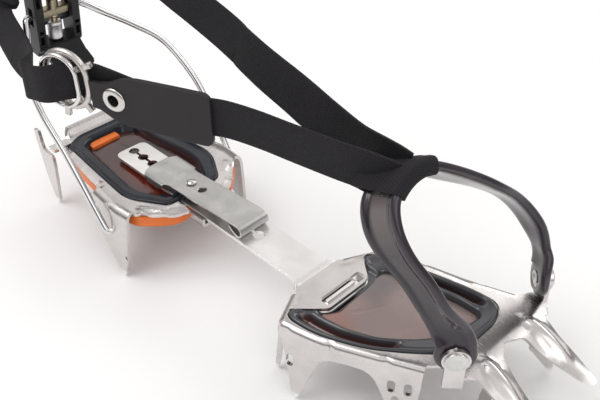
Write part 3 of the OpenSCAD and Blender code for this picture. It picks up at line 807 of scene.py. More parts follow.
def secondPoint(side):
    # a flat spear under each front point, raked forwards and out
    root = Vector((100.3, frontSteel["midY"] + side * 16.5, -4.2))
    tip = Vector((105.8, frontSteel["midY"] + side * 36.2, -43.6))
    run = tip - root
    wide = Vector((0.8, 0.6 * side, 0))
    wide = (wide - run * wide.dot(run) / run.length_squared).normalized()
    outline = softPath([(0, -5.6), (7, -5.0), (12.5, -4.4), (14.5, -5.6), (19, -4.6), (38, -1.6), (43.6, -0.5, .4),
        (43.6, 0.6, .4),
                        (36, 2.6), (20, 4.2), (8, 5.0), (0, 5.8)], 2, 1.6, True)
    verts, faces = fillSheet([outline], 1.9)
    made = [root + run.normalized() * v.x + wide * v.y for v in verts]
    piece = makeMesh("secondPoint", made, faces, marks={"ground": [ease((v.x - 38) / 3) for v in verts]})
    tidyMesh(piece)
    addStack(piece, ("SOLIDIFY", {"thickness": 0.002, "offset": 0}))
    return bakeStack(piece)


# oval holes through the broad points: centre, drawn in the plane of each rim
pointHoles = [((12.5, -37.8), (33.5, -32.8), 5.8, -20), ((56.5, -22.2), (79, -11.5), 10.5, -15.2),
    ((56.5, -22.2), (79, -11.5), 18.6, -14.8),
              ((56.5, -22.2), (79, -11.5), 13.2, -24.5),
              ((12.5, 38.8), (33, 47.1), 5.8, -20), ((57, 53), (80.5, 61.2), 10.5, -15.2),
              ((57, 53), (80.5, 61.2), 18.6, -14.8)]


def cutHoles(piece):
    tools = []
    for a, b, along, z in pointHoles:
        a, b = Vector(a), Vector(b)
        t = (b - a).normalized()
        c = a + t * along
        ring = [(2.0 * math.cos(k * math.pi / 10), (1.7
            if math.sin(k * math.pi / 10) > 0 else -1.7) + 2.0 * math.sin(k * math.pi / 10))
                for k in range(20)]
        n = Vector((t.y, -t.x))
        verts = [(c.x + t.x * u + n.x * w, c.y + t.y * u + n.y * w, z + v) for w in (-9, 9) for u, v in ring]
        faces = [tuple(range(20))[::-1], tuple(range(20, 40))] + [(k, (k + 1) % 20, 20 + (k + 1) % 20, 20 + k)
            for k in range(20)]
        tools.append(tidyMesh(makeMesh("cutter", verts, faces)))
    tool = joinPieces("cutter", tools)
    addStack(piece, ("BOOLEAN", {"operation": "DIFFERENCE", "object": tool, "solver": "EXACT"}))
    bakeStack(piece)
    bpy.data.objects.remove(tool)


lug = {"x": 91, "y": (-6.5, 70), "z": 12, "turn": 47, "radius": 6.6, "stem": 4.7, "foot": -6.0, "sheet": 2.0}


def lugPlace(side):
    # the lug's own axes: along its width, up, and outwards, about the rivet on its outer face
    t = math.radians(lug["turn"]) * side
    out = Vector((math.cos(t), math.sin(t), 0))
    return Vector((lug["x"], lug["y"][0 if side < 0 else 1], lug["z"])), Vector((-out.y, out.x, 0)), out


def lugPlate(side):
    at, wide, out = lugPlace(side)
    r, w = lug["radius"], lug["stem"]
    a0 = math.degrees(math.asin(-math.sqrt(r * r - w * w) / r))
    head = [(r * math.cos(math.radians(a0 + k * (180 - 2 * a0) / 20)),
        r * math.sin(math.radians(a0 + k * (180 - 2 * a0) / 20)))
            for k in range(21)]
    foot = lug["foot"] - lug["z"]
    loop = softPath([(p[0], p[1], 0) for p in head] + [(-w, foot, 0.6), (w, foot, 0.6)], 0.6, 1.5, True)
    bore = [Vector((2.5 * math.cos(k * math.pi / 12), 2.5 * math.sin(k * math.pi / 12))) for k in range(24)]
    verts, faces = fillSheet([loop, bore], 2.2)
    piece = makeMesh("lug", [at + wide * v.x + Vector((0, 0, v.y)) for v in verts], faces)
    tidyMesh(piece, up=out)
    addStack(piece, wall(lug["sheet"]))
    return bakeStack(piece)


buildFrontFrame()
print("front frame made")


# moulded anti-snow plates
def plateRing(name, outer, inner, profile, cut, step, body, material, replaced, grooveAt,
        ceilingAt=lambda x, y: 9.0):
    # outer and inner are matched lists of corners; profile is (share of the way in, height, depth of the channel,
    # painted shade, painted reddish glint)
    def even(points):
        return softPath(points, cut, 0.8, True)

    def resample(path, anchors, counts):
        out = []
        for k in range(len(anchors)):
            i0, i1 = anchors[k], anchors[(k + 1) % len(anchors)]
            seg = path[i0:i1 + 1] if i1 > i0 else path[i0:] + path[:i1 + 1]
            lens = [0.0]
            for j in range(1, len(seg)):
                lens.append(lens[-1] + (seg[j] - seg[j - 1]).length)
            for j in range(counts[k]):
                d = lens[-1] * j / counts[k]
                m = 0
                while m < len(lens) - 2 and lens[m + 1] < d:
                    m += 1
                out.append(mix(seg[m], seg[m + 1], (d - lens[m]) / max(lens[m + 1] - lens[m], 1e-9)))
        return out

    pa, pb = even(outer), even(inner)

    def nearest(path, p):
        return min(range(len(path)), key=lambda i: (path[i] - Vector(p[:2])).length)
    aa, ab = [nearest(pa, p) for p in outer], [nearest(pb, p) for p in inner]
    counts = [max(2, int((Vector(outer[k][:2]) - Vector(outer[(k + 1) % len(outer)][:2])).length / step))
        for k in range(len(outer))]
    la, lb = resample(pa, aa, counts), resample(pb, ab, counts)
    n, verts, marks = len(la), [], {"paintedShade": [], "tinted": []}
    for share, z, deep, dark, tint in profile:
        for p, q in zip(la, lb):
            g, m = grooveAt(p.x, p.y), mix(p, q, share)
            verts.append((m.x, m.y, min(z - deep * g, ceilingAt(m.x, m.y)) if z > -5 else z))
            # the fourth value paints shade in the channels and the inner corner, the fifth paints reddish glints
            marks["paintedShade"].append(dark * g)
            marks["tinted"].append(tint * g)
    rows = len(profile)
    faces = [(r * n + i, r * n + (i + 1) % n, (r + 1) * n + (i + 1) % n, (r + 1) * n + i)
             for r in range(rows - 1) for i in range(n)]
    faces += [((rows - 1) * n + i, (rows - 1) * n + (i + 1) % n, (i + 1) % n, i) for i in range(n)]
    piece = makeMesh(name, verts, faces, marks=marks)
    tidyMesh(piece)
    addStack(piece, ("SUBSURF", {"levels": 1, "render_levels": 1}))
    return finishPiece(piece, body, material, replaced)


frontPlate = {
    "outer": [(9, -30.6, 1.5), (14, -31.9, 1.5), (24, -31.0, 4), (34, -28.2, 6), (52, -20.0, 8), (66, -9.3, 6),
    (74, -2.4, 6), (80.6, 4.2, 5),
              (84.4, 14, 5), (84.9, 36, 5), (82.4, 43.7, 4), (76.8, 47.9, 4), (64, 46.9, 6), (48, 43.4, 8),
              (32, 39.4, 8), (18, 34.9, 5),
              (10.3, 31, 2), (8.6, 27, 2), (13.5, 22.9, 2), (20, 17.9, 1), (22, 14.4, 1), (22, -13.4, 1),
              (20, -15.9, 1), (13.5, -22.9, 2), (8.8, -27, 2)],
    "inner": [(20.5, -17.5, 1), (22.5, -17.8, 1), (28, -17, 2), (36, -15.6, 3), (50, -9.6, 4), (60.5, -0.8, 3),
    (65, 4, 3), (70.5, 12, 3),
              (73.5, 19.6, 2), (76.4, 33.4, 2), (75.4, 35.6, 2), (73.2, 36.8, 2), (62, 36.6, 3), (50, 34.6, 4),
              (37, 31.6, 4), (28, 29.6, 2),
              (24.2, 27.6, 1), (22.6, 25.6, 1), (22.2, 23, 1), (23.4, 18, 1), (24.2, 14, 1), (25.4, -9.5, 1),
              (23.6, -12.5, 1), (21.6, -15, 1), (20.2, -16.2, 1)],
    # in each row the fourth value is painted shade, the fifth painted reddish glints
    "profile": [(0.0, -7.5, 0, 0, 0), (0.0, -0.6, 0, 0, 0), (0.02, 0.75, 0, 0, 0), (0.10, 1.0, 0, 0, 0),
    (0.22, 0.9, 0.3, 0.2, 0), (0.30, 0.5, 3.2, 1, 0.1),
                (0.40, 0.3, 4.8, 1, 0.55), (0.52, 0.2, 5.0, 1, 0.9), (0.62, 0.15, 3.4, 0.8, 0.3),
                (0.70, 0.1, 0.5, 0, 0), (0.80, 0.0, -0.2, 0, 0),
                (0.90, -0.5, 0.2, 0, 0), (0.98, -2.0, 0, 0.3, 0), (1.0, -4.6, 0, 0.6, 0), (0.9, -7.0, 0, 0, 0),
                (0.4, -8.4, 0, 0, 0)],
}


def frontGroove(x, y):
    near = ease((-x * 0.42 - y + 18) / 7)
    far = ease((y - 0.16 * x - 23) / 6)
    return (near * ease((x - 9) / 4) * ease((68 - x) / 9) + far * ease((x - 22) / 6) * ease((76 - x) / 6))


plateRing("frontPlateRing", frontPlate["outer"], frontPlate["inner"], frontPlate["profile"], 2, 1.6, "front",
          slatePlastic, ["front_plate_rim"], frontGroove,
          lambda x, y: mix(-2.35, 9.0, ease((max(x - 26.5, abs(y - 2.5) - 19.5)) / 4)))


def skinPanel(name, outline, z, thick, body, material, replaced, step, shape, marker, spread=0.6):
    loop = softPath(outline, 2, step, True)
    n = len(loop)
    mid = sum(loop, Vector((0, 0))) / n
    loop = [p + (p - mid).normalized() * spread for p in loop]
    verts, faces = fillSheet([loop], step)
    made = [(v.x, v.y, z + shape(v.x, v.y)) for v in verts]
    marks = {"tinted": [], "cool": []}
    for v in verts:
        t, c = marker(v.x, v.y)
        marks["tinted"].append(t)
        marks["cool"].append(c)
    piece = makeMesh(name, made, faces, marks=marks)
    tidyMesh(piece, up=Vector((0, 0, 1)))
    addStack(piece, wall(thick))
    return finishPiece(piece, body, material, replaced)


def frontPanelShape(x, y):
    z = 1.0 * math.exp(-(((x - 50) / 22) ** 2 + ((y - 12) / 16) ** 2)) + 1.5 * ease((38 - x) / 14)
    d = abs(math.hypot(x - 27.5, y + 1.5) - 2.6)     # moulding mark
    z += 0.25 * math.exp(-(d / 0.4) ** 2)
    a, b = Vector((30.0, -4.5)), Vector((37.5, 9.5))
    p = Vector((x, y))
    t = min(max((p - a).dot(b - a) / (b - a).length_squared, 0), 1)
    return z - 0.45 * math.exp(-(((p - a - (b - a) * t).length) / 0.5) ** 2)


skinPanel("frontPlateSkin", [(p[0], p[1]) for p in frontPlate["inner"]], -4.2, 0.9, "front", roseMembrane,
          ["front_plate_panel"], 1.0, frontPanelShape,
          lambda x, y: (0.75 * ease((-x * 0.42 - y + 10) / 12) * ease((60 - x) / 20),
          0.6 * ease((44 - x) / 18) * ease((y + 2) / 14)))
print("front plate made")


# centre bar
bar = {"half": 11.0, "rear": -165.0, "top": -0.15, "under": -2.9, "sheet": 2.0, "pitch": 9.65, "stud": -102.0,
    "hole": 3.2, "slit": 0.8,
       "holes": 13, "stepFrom": -2.4, "stepTo": 1.2}


def buildBar():
    b = bar
    loop = softPath([(b["rear"], -b["half"], 5), (-7.5, -b["half"], 3), (-2.6, -12.6, 2.5), (-0.4, -15.4, .6),
        (2, -13, 1), (20, -13, 2), (20, 13, 2),
                     (2, 13, 1), (-0.4, 15.4, .6), (-2.6, 12.6, 2.5), (-7.5, b["half"], 3),
                     (b["rear"], b["half"], 5)], 3, 2.2, True)
    j = math.asin(b["slit"] / b["hole"])
    chain = []
    for side in (1, -1):
        order = range(b["holes"]) if side > 0 else range(b["holes"] - 1, -1, -1)
        for i in order:
            c = b["stud"] + (i - 6) * b["pitch"]
            a0, a1 = math.pi - j, j
            if side > 0 and i == 0:
                a0 = math.pi
            if side > 0 and i == b["holes"] - 1:
                a1 = 0.0
            if side < 0:
                a0, a1 = -j, -math.pi + j
                if i == b["holes"] - 1:
                    a0 = 0.0
                if i == 0:
                    a1 = -math.pi
            n = 9
            arc = [Vector((c + b["hole"] * math.cos(mix(a0, a1, k / n)), b["hole"] * math.sin(mix(a0, a1, k / n))))
                for k in range(n + 1)]
            if chain and (arc[0] - chain[-1]).length < 0.01:
                arc = arc[1:]
            chain += arc
    if (chain[0] - chain[-1]).length < 0.01:
        chain.pop()
    verts, faces = fillSheet([loop, chain], 2.4)
    made = []
    for v in verts:
        z = mix(b["top"], b["under"], ease((v.x - b["stepFrom"]) / (b["stepTo"] - b["stepFrom"])))
        made.append((v.x, v.y, z))
    piece = makeMesh("centreBar", made, faces)
    tidyMesh(piece, up=Vector((0, 0, 1)))
    addStack(piece, wall(b["sheet"]))
    bakeStack(piece)
    hook = makeMesh("hook", [(x, y, z) for x in (15.6, 17.6) for y in (-10, 10) for z in (-4.6, -0.7)],
                    [(0, 1, 3, 2), (4, 6, 7, 5), (0, 4, 5, 1), (2, 3, 7, 6), (0, 2, 6, 4), (1, 5, 7, 3)])
    whole = joinPieces("centreBar", [piece, tidyMesh(hook)])
    addStack(whole, softEdge(0.25), flatShade)
    return finishPiece(whole, "bar", barSteel, ["center_bar"])


buildBar()
print("centre bar made")

# length-adjusting clip: one strip of spring steel, rolled at its toe end
clip = {"headZ": 4.2, "sheet": 1.2, "hinge": -112.0, "rise": 4.0, "rollX": -51.0, "rollR": 4.3}


def buildClip():
    c = clip
    run = (c["rollX"]) - c["hinge"]                       # flat stretch before the roll
    bendLen = (c["rollR"] - 0.6) * math.radians(208)
    stripEnd = run + bendLen + 7.5
    loop = softPath([(-22, -6.6, 2.5), (-21.6, -7.4, 2), (-17, -16.8, 2.5), (-3.6, -16.8, 2.5), (-0.5, -10.25, 2),
        (run, -10.25, 1),
                     (stripEnd, -9.6, 2.5), (stripEnd, 9.6, 2.5), (run, 10.25, 1), (-0.5, 10.25, 2),
                     (-3.6, 16.8, 2.5),
                     (-17, 16.8, 2.5), (-21.6, 7.4, 2), (-22, 6.6, 2.5)], 2, 1.7, True)

    def circle(x, r):
        return [Vector((x + r * math.cos(k * math.pi / 12), r * math.sin(k * math.pi / 12))) for k in range(24)]
    verts, faces = fillSheet([loop, circle(10, 2.1), circle(20, 2.8)], 1.5)
    made = []
    for v in verts:
        x, y, z = c["hinge"] + v.x, v.y, c["headZ"]
        if v.x > 0:
            z += c["rise"] * ease(v.x / run) * 0.55 + c["rise"] * 0.45 * min(v.x / run, 1)
        if v.x > run:                                        # down and back under, a round roll
            r = c["rollR"] - 0.1
            t = (v.x - run) / (r - 0.5)
            top = c["headZ"] + c["rise"]
            past = max(v.x - run - bendLen, 0)
            t = min(t, math.radians(208))
            x = c["rollX"] + r * math.sin(t) + past * math.cos(t)
            z = top - r + r * math.cos(t) - past * math.sin(t)
        half = 11.4
        if abs(y) > half and v.x < 1:                        # the head's sides wrap down
            d = abs(y) - half
            a = min(d / 1.8, math.radians(82))
            rest = max(d - 1.8 * math.radians(82), 0)
            s = 1 if y > 0 else -1
            y = s * (half + 1.8 * math.sin(a) + rest * math.cos(math.radians(82)))
            z -= 1.8 * (1 - math.cos(a)) + rest * math.sin(math.radians(82))
        # a shallow pressed channel along the head
        z += 0.35 * math.exp(-((v.y) / 4.2) ** 2) * ease((v.x + 20) / 4) * ease((2 - v.x) / 4)
        made.append((x, y, z))
    piece = makeMesh("clipSpring", made, faces)
    tidyMesh(piece)
    bm = bmesh.new()
    bm.from_mesh(piece.data)
    top = max((f for f in bm.faces if f.calc_center_median().x < -0.100 and abs(f.calc_center_median().y) < 0.006),
        key=lambda f: f.calc_area())
    if top.normal.z < 0:
        bmesh.ops.reverse_faces(bm, faces=bm.faces)
    bm.to_mesh(piece.data)
    bm.free()
    addStack(piece, wall(c["sheet"]), softEdge(0.2), flatShade)
    bakeStack(piece)
    finishPiece(piece, None, clipSteel, ["clip_head", "clip_spring"])
    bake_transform(piece)


buildClip()
stud = turned("clipStud", [(0, 6.6), (1.2, 6.55), (1.9, 6.3), (2.3, 5.95), (2.95, 5.8), (3.0, 5.6), (2.8, 5.42),
    (1.9, 5.4), (1.9, -2.9), (1.6, -3.1), (0, -3.1)],
              (-102, 0, 0), (0, 0, 1), 40)
finishPiece(stud, "clip", brightMetal, ["clip_stud"])
print("clip made")


# rear frame
rearSteel = {
    "sheet": 2.0, "bend": 3.0, "crease": 36,
    "outer": [(-89, 13.2, 1), (-91, 21, 4), (-99, 28.6, 5), (-108, 38.6, 5), (-121, 41.2, 6), (-140, 37.8, 6),
    (-169, 34.4, 6), (-190, 30.2, 5),
              (-199, 26.5, 4), (-206.6, 20.5, 2)],
    "inner": [(-101.5, 13.5, 2), (-101.5, 18, 3), (-119, 29, 5), (-126, 31.5, 5), (-160, 29.2, 6), (-192, 26.5, 3),
    (-197.7, 17.6, 3)],
}


def mirrored(points):
    return [(p[0], -p[1]) + tuple(p[2:]) for p in points[::-1]]


def rearLift(x, y):
    # the heel's edge rises to a lip; pressed ribs stiffen the sides
    ay = abs(y)
    z = 5.6 * ease((-199.5 - x) / 5.5) * ease((22.5 - ay) / 3)
    z += ribLift(x, ay, [[(-186, 28.8), (-168, 31.9), (-148, 34.0)]], 0.7, 1.5)
    z += ribLift(x, ay, [[(-110, 32.4), (-97, 22.6), (-95, 24.8), (-106, 34.4)]], 0.7, 1.1)
    return z


def buildRearFrame():
    s = rearSteel
    half, inner = s["outer"], s["inner"]
    # one outline: the far side out to the heel, back along the near side, then the inner edge
    ring = [(-86, 12.4, .5)] + half + mirrored(half) + [(-86, -12.4, .5), (-101.5, -12.4, 1.5)]
    ring += [(p[0], -p[1]) + tuple(p[2:]) for p in inner] + inner[::-1] + [(-101.5, 12.4, 1.5)]
    loop = softPath(ring, 2, 1.5, True)
    edge = softPath([(-86, 12.4, .5)] + half + mirrored(half) + [(-86, -12.4, .5)], 2, 1.0)
    verts, faces = fillSheet([loop], 1.6, 0.05)
    top = []
    for v in verts:
        near = min((v - p).length_squared for p in edge) ** 0.5
        slope = 1.3 * ease(1 - near / 5.5) * ease((v.x + 200) / 6)
        slope *= 1 - ease((v.x + 145) / 4) * ease((-103 - v.x) / 4)
        top.append((v.x, v.y, rearLift(v.x, v.y) - slope))
    parts = [makeMesh("plate", top, faces)]
    for side in (-1, 1):
        rim = offsetRim([(-141, side * 41.3), (-121, side * 43.1, 3), (-107.5, side * 41.8)], 3.6, side)
        parts.append(flange("heelPoint", rim, [(-2.4, -8, 2), (-1.6, -14), (2, -20.5, 3), (12.5, -26.4, 6),
            (23.5, -38.6, 2), (24.8, -42.2, 1.2), (28.6, -44, 1.0),
                                               (31.0, -36, 3), (33.0, -14, 3), (33.4, -6)], 3.6, 5, 1.7,
                                               gussets=((16, 3.4, 3, 22, 0.8),)))
    # arms and points at the back of the heel
    for side in (-1, 1):
        arm = [(-192.6, side * 25), (-192.6, side * 36.9), (-199.4, side * 36.9), (-199.4, side * 25)]
        v2, f2 = fillSheet([softPath(arm, 0.5, 2, True)], 2.2)
        parts.append(makeMesh("arm", [(v.x, v.y, 0.02) for v in v2], f2))
    shell = joinPieces("rearShell", parts)
    tidyMesh(shell, up=Vector((0, 0, 1)))
    addStack(shell, wall(s["sheet"]))
    bakeStack(shell)
    plates = [shell]
    for side in (-1, 1):
        rim = [(Vector((x, side * 38.4)), Vector((0, side))) for x in (-209, -205, -200, -195, -191)]
        outline = softPath([(-2, 11, .8), (3, 11, .8), (4.0, 4, 1.5), (5, -1.4, 1.5), (15, -3, 2), (14.6, -10, 3),
            (8.6, -41, 1), (6.6, -44, .9), (4.2, -43, 1.6), (0.5, -24, 4), (-0.6, -9, 3)],
                           1.5, 1.6, True)
        v3, f3 = fillSheet([outline], 1.8, 0.05)
        made = [(-209 + v.x, side * (38.6 + 0.03 * min(v.y, 0)), v.y) for v in v3]
        p = makeMesh("heelSpike", made, f3, marks={"ground": [ease((-v.y - tipDepth + 5) / 3) for v in v3]})
        tidyMesh(p, up=Vector((0, side, 0)))
        addStack(p, wall(2))
        plates.append(bakeStack(p))
    # stirrup that carries the centre bar
    prof = softPath([(-12.6, -0.6), (-12.6, -5.5, 1.6), (12.6, -5.5, 1.6), (12.6, -0.6)], 1.6, 1.2)
    sv, sf = [], []
    xs = [-88.2, -87.6, -84, -80, -76.8, -76.2]
    for x in xs:
        sv += [(x, p.x, p.y) for p in prof]
    k = len(prof)
    sf = [(i * k + j, i * k + j + 1, (i + 1) * k + j + 1, (i + 1) * k + j) for i in range(len(xs) - 1)
        for j in range(k - 1)]
    st = makeMesh("stirrup", sv, sf)
    tidyMesh(st, up=Vector((0, 0, -1)))
    addStack(st, ("SOLIDIFY", {"thickness": 0.002, "offset": 0, "use_even_offset": True}))
    plates.append(bakeStack(st))
    whole = joinPieces("rearFrame", plates)
    whole.data.set_sharp_from_angle(angle=math.radians(s["crease"]))
    return finishPiece(whole, "heel", stampedSteel, ["rear_frame"])


buildRearFrame()
print("rear frame made")

rearPlate = {
    "outer": [(-199.0, 16, 3), (-193.5, 27.2, 3), (-160, 30.2, 6), (-127, 32.8, 5), (-118, 30.6, 5),
    (-100.0, 19.5, 4), (-99.2, 14, 4),
              (-99.2, -14, 4), (-100.0, -19.5, 4), (-118, -30.6, 5), (-127, -32.8, 5), (-160, -30.2, 6),
              (-193.5, -27.2, 3), (-199.0, -16, 3)],
    "inner": [(-189.0, 10, 2), (-185, 15.5, 2), (-158, 17.6, 3), (-134, 20.4, 3), (-126, 20.0, 3), (-110.5, 12.5, 2),
    (-109.6, 8, 2),
              (-109.6, -8, 2), (-110.5, -12.5, 2), (-126, -20.0, 3), (-134, -20.4, 3), (-158, -17.6, 3),
              (-185, -15.5, 2), (-189.0, -10, 2)],
    # in each row the fourth value is painted shade, the fifth painted reddish glints
    "profile": [(0.0, -7.4, 0, 0, 0), (0.0, -0.4, 0, 0, 0), (0.03, 0.9, 0, 0, 0), (0.09, 1.25, 0, 0, 0),
    (0.16, 1.2, 0, 0, 0), (0.21, 0.8, 0.3, 0.2, 0),
                (0.30, 0.6, 0.5, 0.3, 0), (0.45, 0.5, 0.6, 0.2, 0), (0.58, 0.35, 0.6, 0.1, 0), (0.64, 0.2, 0.4, 0, 0),
                (0.70, -0.4, 0, 0, 0), (0.80, -2.4, 0, 0, 0.3),
                (0.92, -5.2, 0, 0.2, 0.5), (1.0, -6.9, 0, 0.6, 0), (0.9, -8.4, 0, 0, 0), (0.3, -8.6, 0, 0, 0)],
}
plateRing("rearPlateRing", rearPlate["outer"], rearPlate["inner"], rearPlate["profile"], 3, 1.8, "heel", blackPlastic,
          ["rear_plate_rim"], lambda x, y: ease((abs(y) - 15) / 6) * ease((x + 190) / 6) * ease((-104 - x) / 8))


guides = []
for sgn in (-1, 1):
    y0, y1 = sorted((sgn * 12.6, sgn * 20.2))
    guides.append(tidyMesh(makeMesh("guide", [(x, y, z) for x in (-113.4, -102.6) for y in (y0, y1)
        for z in (-6.5, -1.4 - 0.8 * (x > -110))],
                                    [(0, 1, 3, 2), (4, 6, 7, 5), (0, 4, 5, 1), (2, 3, 7, 6), (0, 2, 6, 4),
                                    (1, 5, 7, 3)])))
guide = joinPieces("barGuides", guides)
addStack(guide, softEdge(0.9, 4), flatShade)
finishPiece(guide, "heel", blackPlastic)


def rearPanelShape(x, y):
    z = 0.7 * math.exp(-(((x + 150) / 26) ** 2 + (y / 12) ** 2))
    for line in ([(-180, -4), (-150, -6), (-128, -14)], [(-181, 3), (-152, 10), (-130, 17)]):
        z -= ribLift(x, y, [line], 0.35, 0.7)
    return z


skinPanel("rearPlateSkin", [(p[0], p[1]) for p in rearPlate["inner"]], -5.0, 0.9, "heel", maroonMembrane,
          ["rear_plate_panel"], 1.4, rearPanelShape, lambda x,
          y: (0.8 * ease((x + 176) / 40) * ease((12 - abs(y + 8)) / 10), 0), 1.6)
# orange skirt under the ring, and the orange block at the heel
skirt = {"half": [(-200, 19), (-195, 26.5), (-168, 34.4), (-142, 37.0), (-119.5, 39.6), (-107.5, 38), (-98.2, 28.6),
    (-91.5, 20)], "low": -9.4, "high": -2.4, "wide": 4.6}


def buildSkirt():
    s = skirt
    line = softPath([(p[0], p[1], 5) for p in s["half"]] + [(p[0], -p[1], 5) for p in s["half"][::-1]], 5, 2.2, True)
    section = [(0.0, s["low"] + 0.8), (0.5, s["low"]), (s["wide"] - 0.6, s["low"]), (s["wide"], s["low"] + 0.8),
        (s["wide"], s["high"] - 1.2), (s["wide"] - 0.8, s["high"]),
               (0.8, s["high"]), (0.0, s["high"] - 0.9)]
    n, k, verts = len(line), len(section), []
    for i, p in enumerate(line):
        t = (line[(i + 1) % n] - line[i - 1]).normalized()
        o = Vector((t.y, -t.x))
        if o.dot(p - Vector((-150, 0))) > 0:
            o = -o
        for d, z in section:
            q = p + o * d
            verts.append((q.x, q.y, z))
    faces = [(i * k + j, i * k + (j + 1) % k, ((i + 1) % n) * k + (j + 1) % k, ((i + 1) % n) * k + j)
        for i in range(n) for j in range(k)]
    piece = tidyMesh(makeMesh("heelSkirt", verts, faces))
    outline = softPath([(-192.4, -12.5), (-192.4, 6.8), (-185.6, 6.8), (-184.8, -14.2), (-190.4, -14.2)], 1.6, 1.2,
        True)
    m = len(outline)
    bv = []
    levels = [(0, -6.8), (0, -3.6), (0.35, -3.1), (1.0, -2.8)]
    mid = Vector((-188.5, -3.5))
    for inset, z in levels:
        bv += [(*(p - (p - mid).normalized() * inset), z) for p in outline]
    bf = ringFaces(len(levels), m)
    bf += capFaces(len(levels), m)
    b = tidyMesh(makeMesh("block", bv, bf))
    whole = joinPieces("heelSkirt", [piece, b])
    addStack(whole, softEdge(0.3, 2, 50), flatShade)
    return finishPiece(whole, "heel", orangePlastic, ["rear_skirt"])


buildSkirt()
print("rear plate made")

# toe strap
toe = {
    "route": [(83.5, -3.8, 24.5), (76.4, -8, 36.3), (69.4, -11.5, 48.5), (60.4, -16.4, 61.5), (53.9, -17.6, 71.5),
    (48.9, -14.6, 80.5),
              (46.9, -8, 86), (46.2, 2, 88), (47.6, 12, 85.5), (52.4, 27, 77), (59.8, 46, 65), (66.6, 61, 53),
              (75, 69.5, 39), (83.5, 71, 24.5)],
    "facing": Vector((0.86, 0, 0.5)), "farFacing": Vector((0.78, -0.38, 0.50)), "wide": 19.6, "thick": 4.6,
    "pad": 10.1, "behind": 4.6, "recess": 1.15,
}


def toeSection(w, t, r):
    e = min(w * 0.12, 2.3)
    h = w / 2
    outer = [(-h, 0.5), (-h + 0.08 * e, -0.26 * t), (-h + 0.45 * e, -0.46 * t), (-h + e, -0.5 * t),
        (-h + 1.55 * e, -0.47 * t),
             (-h + 1.95 * e, -0.47 * t + r * 0.55), (-h + 2.25 * e, -0.47 * t + r)]
    mid = [(u * (h - 2.25 * e), -0.47 * t + r) for u in (-0.66, -0.33, 0, 0.33, 0.66)]
    inner = [(h, 0.9), (h - 0.3 * e, 0.36 * t), (h - 0.9 * e, 0.48 * t), (h * 0.6, 0.5 * t), (h * 0.3, 0.46 * t),
        (0, 0.44 * t),
             (-h * 0.3, 0.46 * t), (-h * 0.6, 0.5 * t), (-h + 0.9 * e, 0.48 * t), (-h + 0.3 * e, 0.36 * t)]
    return outer + mid + [(-u, v) for u, v in outer[::-1]] + inner


def buildToeStrap():
    s = toe
    ends, acrossEnds = [], []
    for side in (-1, 1):
        at, wide, out = lugPlace(side)
        c = at - out * s["behind"]
        ends.append([c + Vector((0, 0, -9.9)), c + Vector((0, 0, -5)), c, c + Vector((-0.5, 0, 6.2))])
        acrossEnds.append(wide)
    path = smoothRoute(ends[0] + [Vector(p) for p in s["route"]] + ends[1][::-1], 2.2)
    lens = [0.0]
    for i in range(1, len(path)):
        lens.append(lens[-1] + (path[i] - path[i - 1]).length)
    total = lens[-1]

    def across(i):
        d = min(lens[i], total - lens[i])
        end = acrossEnds[0] if lens[i] < total / 2 else acrossEnds[1]
        if end.dot(s["facing"]) < 0:
            end = -end
        mid = s["facing"].lerp(s["farFacing"], ease((lens[i] / total - 0.55) / 0.18))
        return end.lerp(mid, ease((d - 14) / 26))
    r, k = s["pad"], len(toeSection(20, 4, 1))
    marks = {"panel": [], "deep": []}

    def section(i):
        d = min(lens[i], total - lens[i])
        w = s["wide"]
        if d < r:
            w = 2 * math.sqrt(max(r * r - (r - d) ** 2, 0.8))
        w = mix(w, s["wide"] + 2.4 * ease((d - 58) / 24), ease((d - r) / 10)) if d > r else w
        if d < 40:
            w -= 1.6 * math.exp(-((d - 26) / 9) ** 2)
        rec = s["recess"] * ease((d - 30) / 12)
        return toeSection(w, s["thick"], rec)
    # panel paints reflection and light through the strap on the recess, lighter towards the top; deep paints shade at
    # the recess edges and lower down
    for i in range(len(path)):
        d = min(lens[i], total - lens[i])
        fade = ease((d - 62) / 26)
        for j in range(k):
            marks["panel"].append(fade if 6 <= j <= 12 else (0.16 * fade if j >= 21 else 0.0))
            edge = j in (5, 6, 12, 13)
            marks["deep"].append((0.8 if edge else 0.35 * (1 - fade) if 6 <= j <= 12 else 0.0))
    frames = strapFrames(path, across)
    piece = sweep("toeStrap", path, section, frames, marks=marks)
    # one level of subdivision smooths the strap
    addStack(piece, ("SUBSURF", {"levels": 1, "render_levels": 1}))
    bakeStack(piece)
    finishPiece(piece, None, smokeElastomer, ["toe_strap", "toe_strap_ends"])
    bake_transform(piece)
    return path, frames, lens


toePath, toeFrames, toeLens = buildToeStrap()


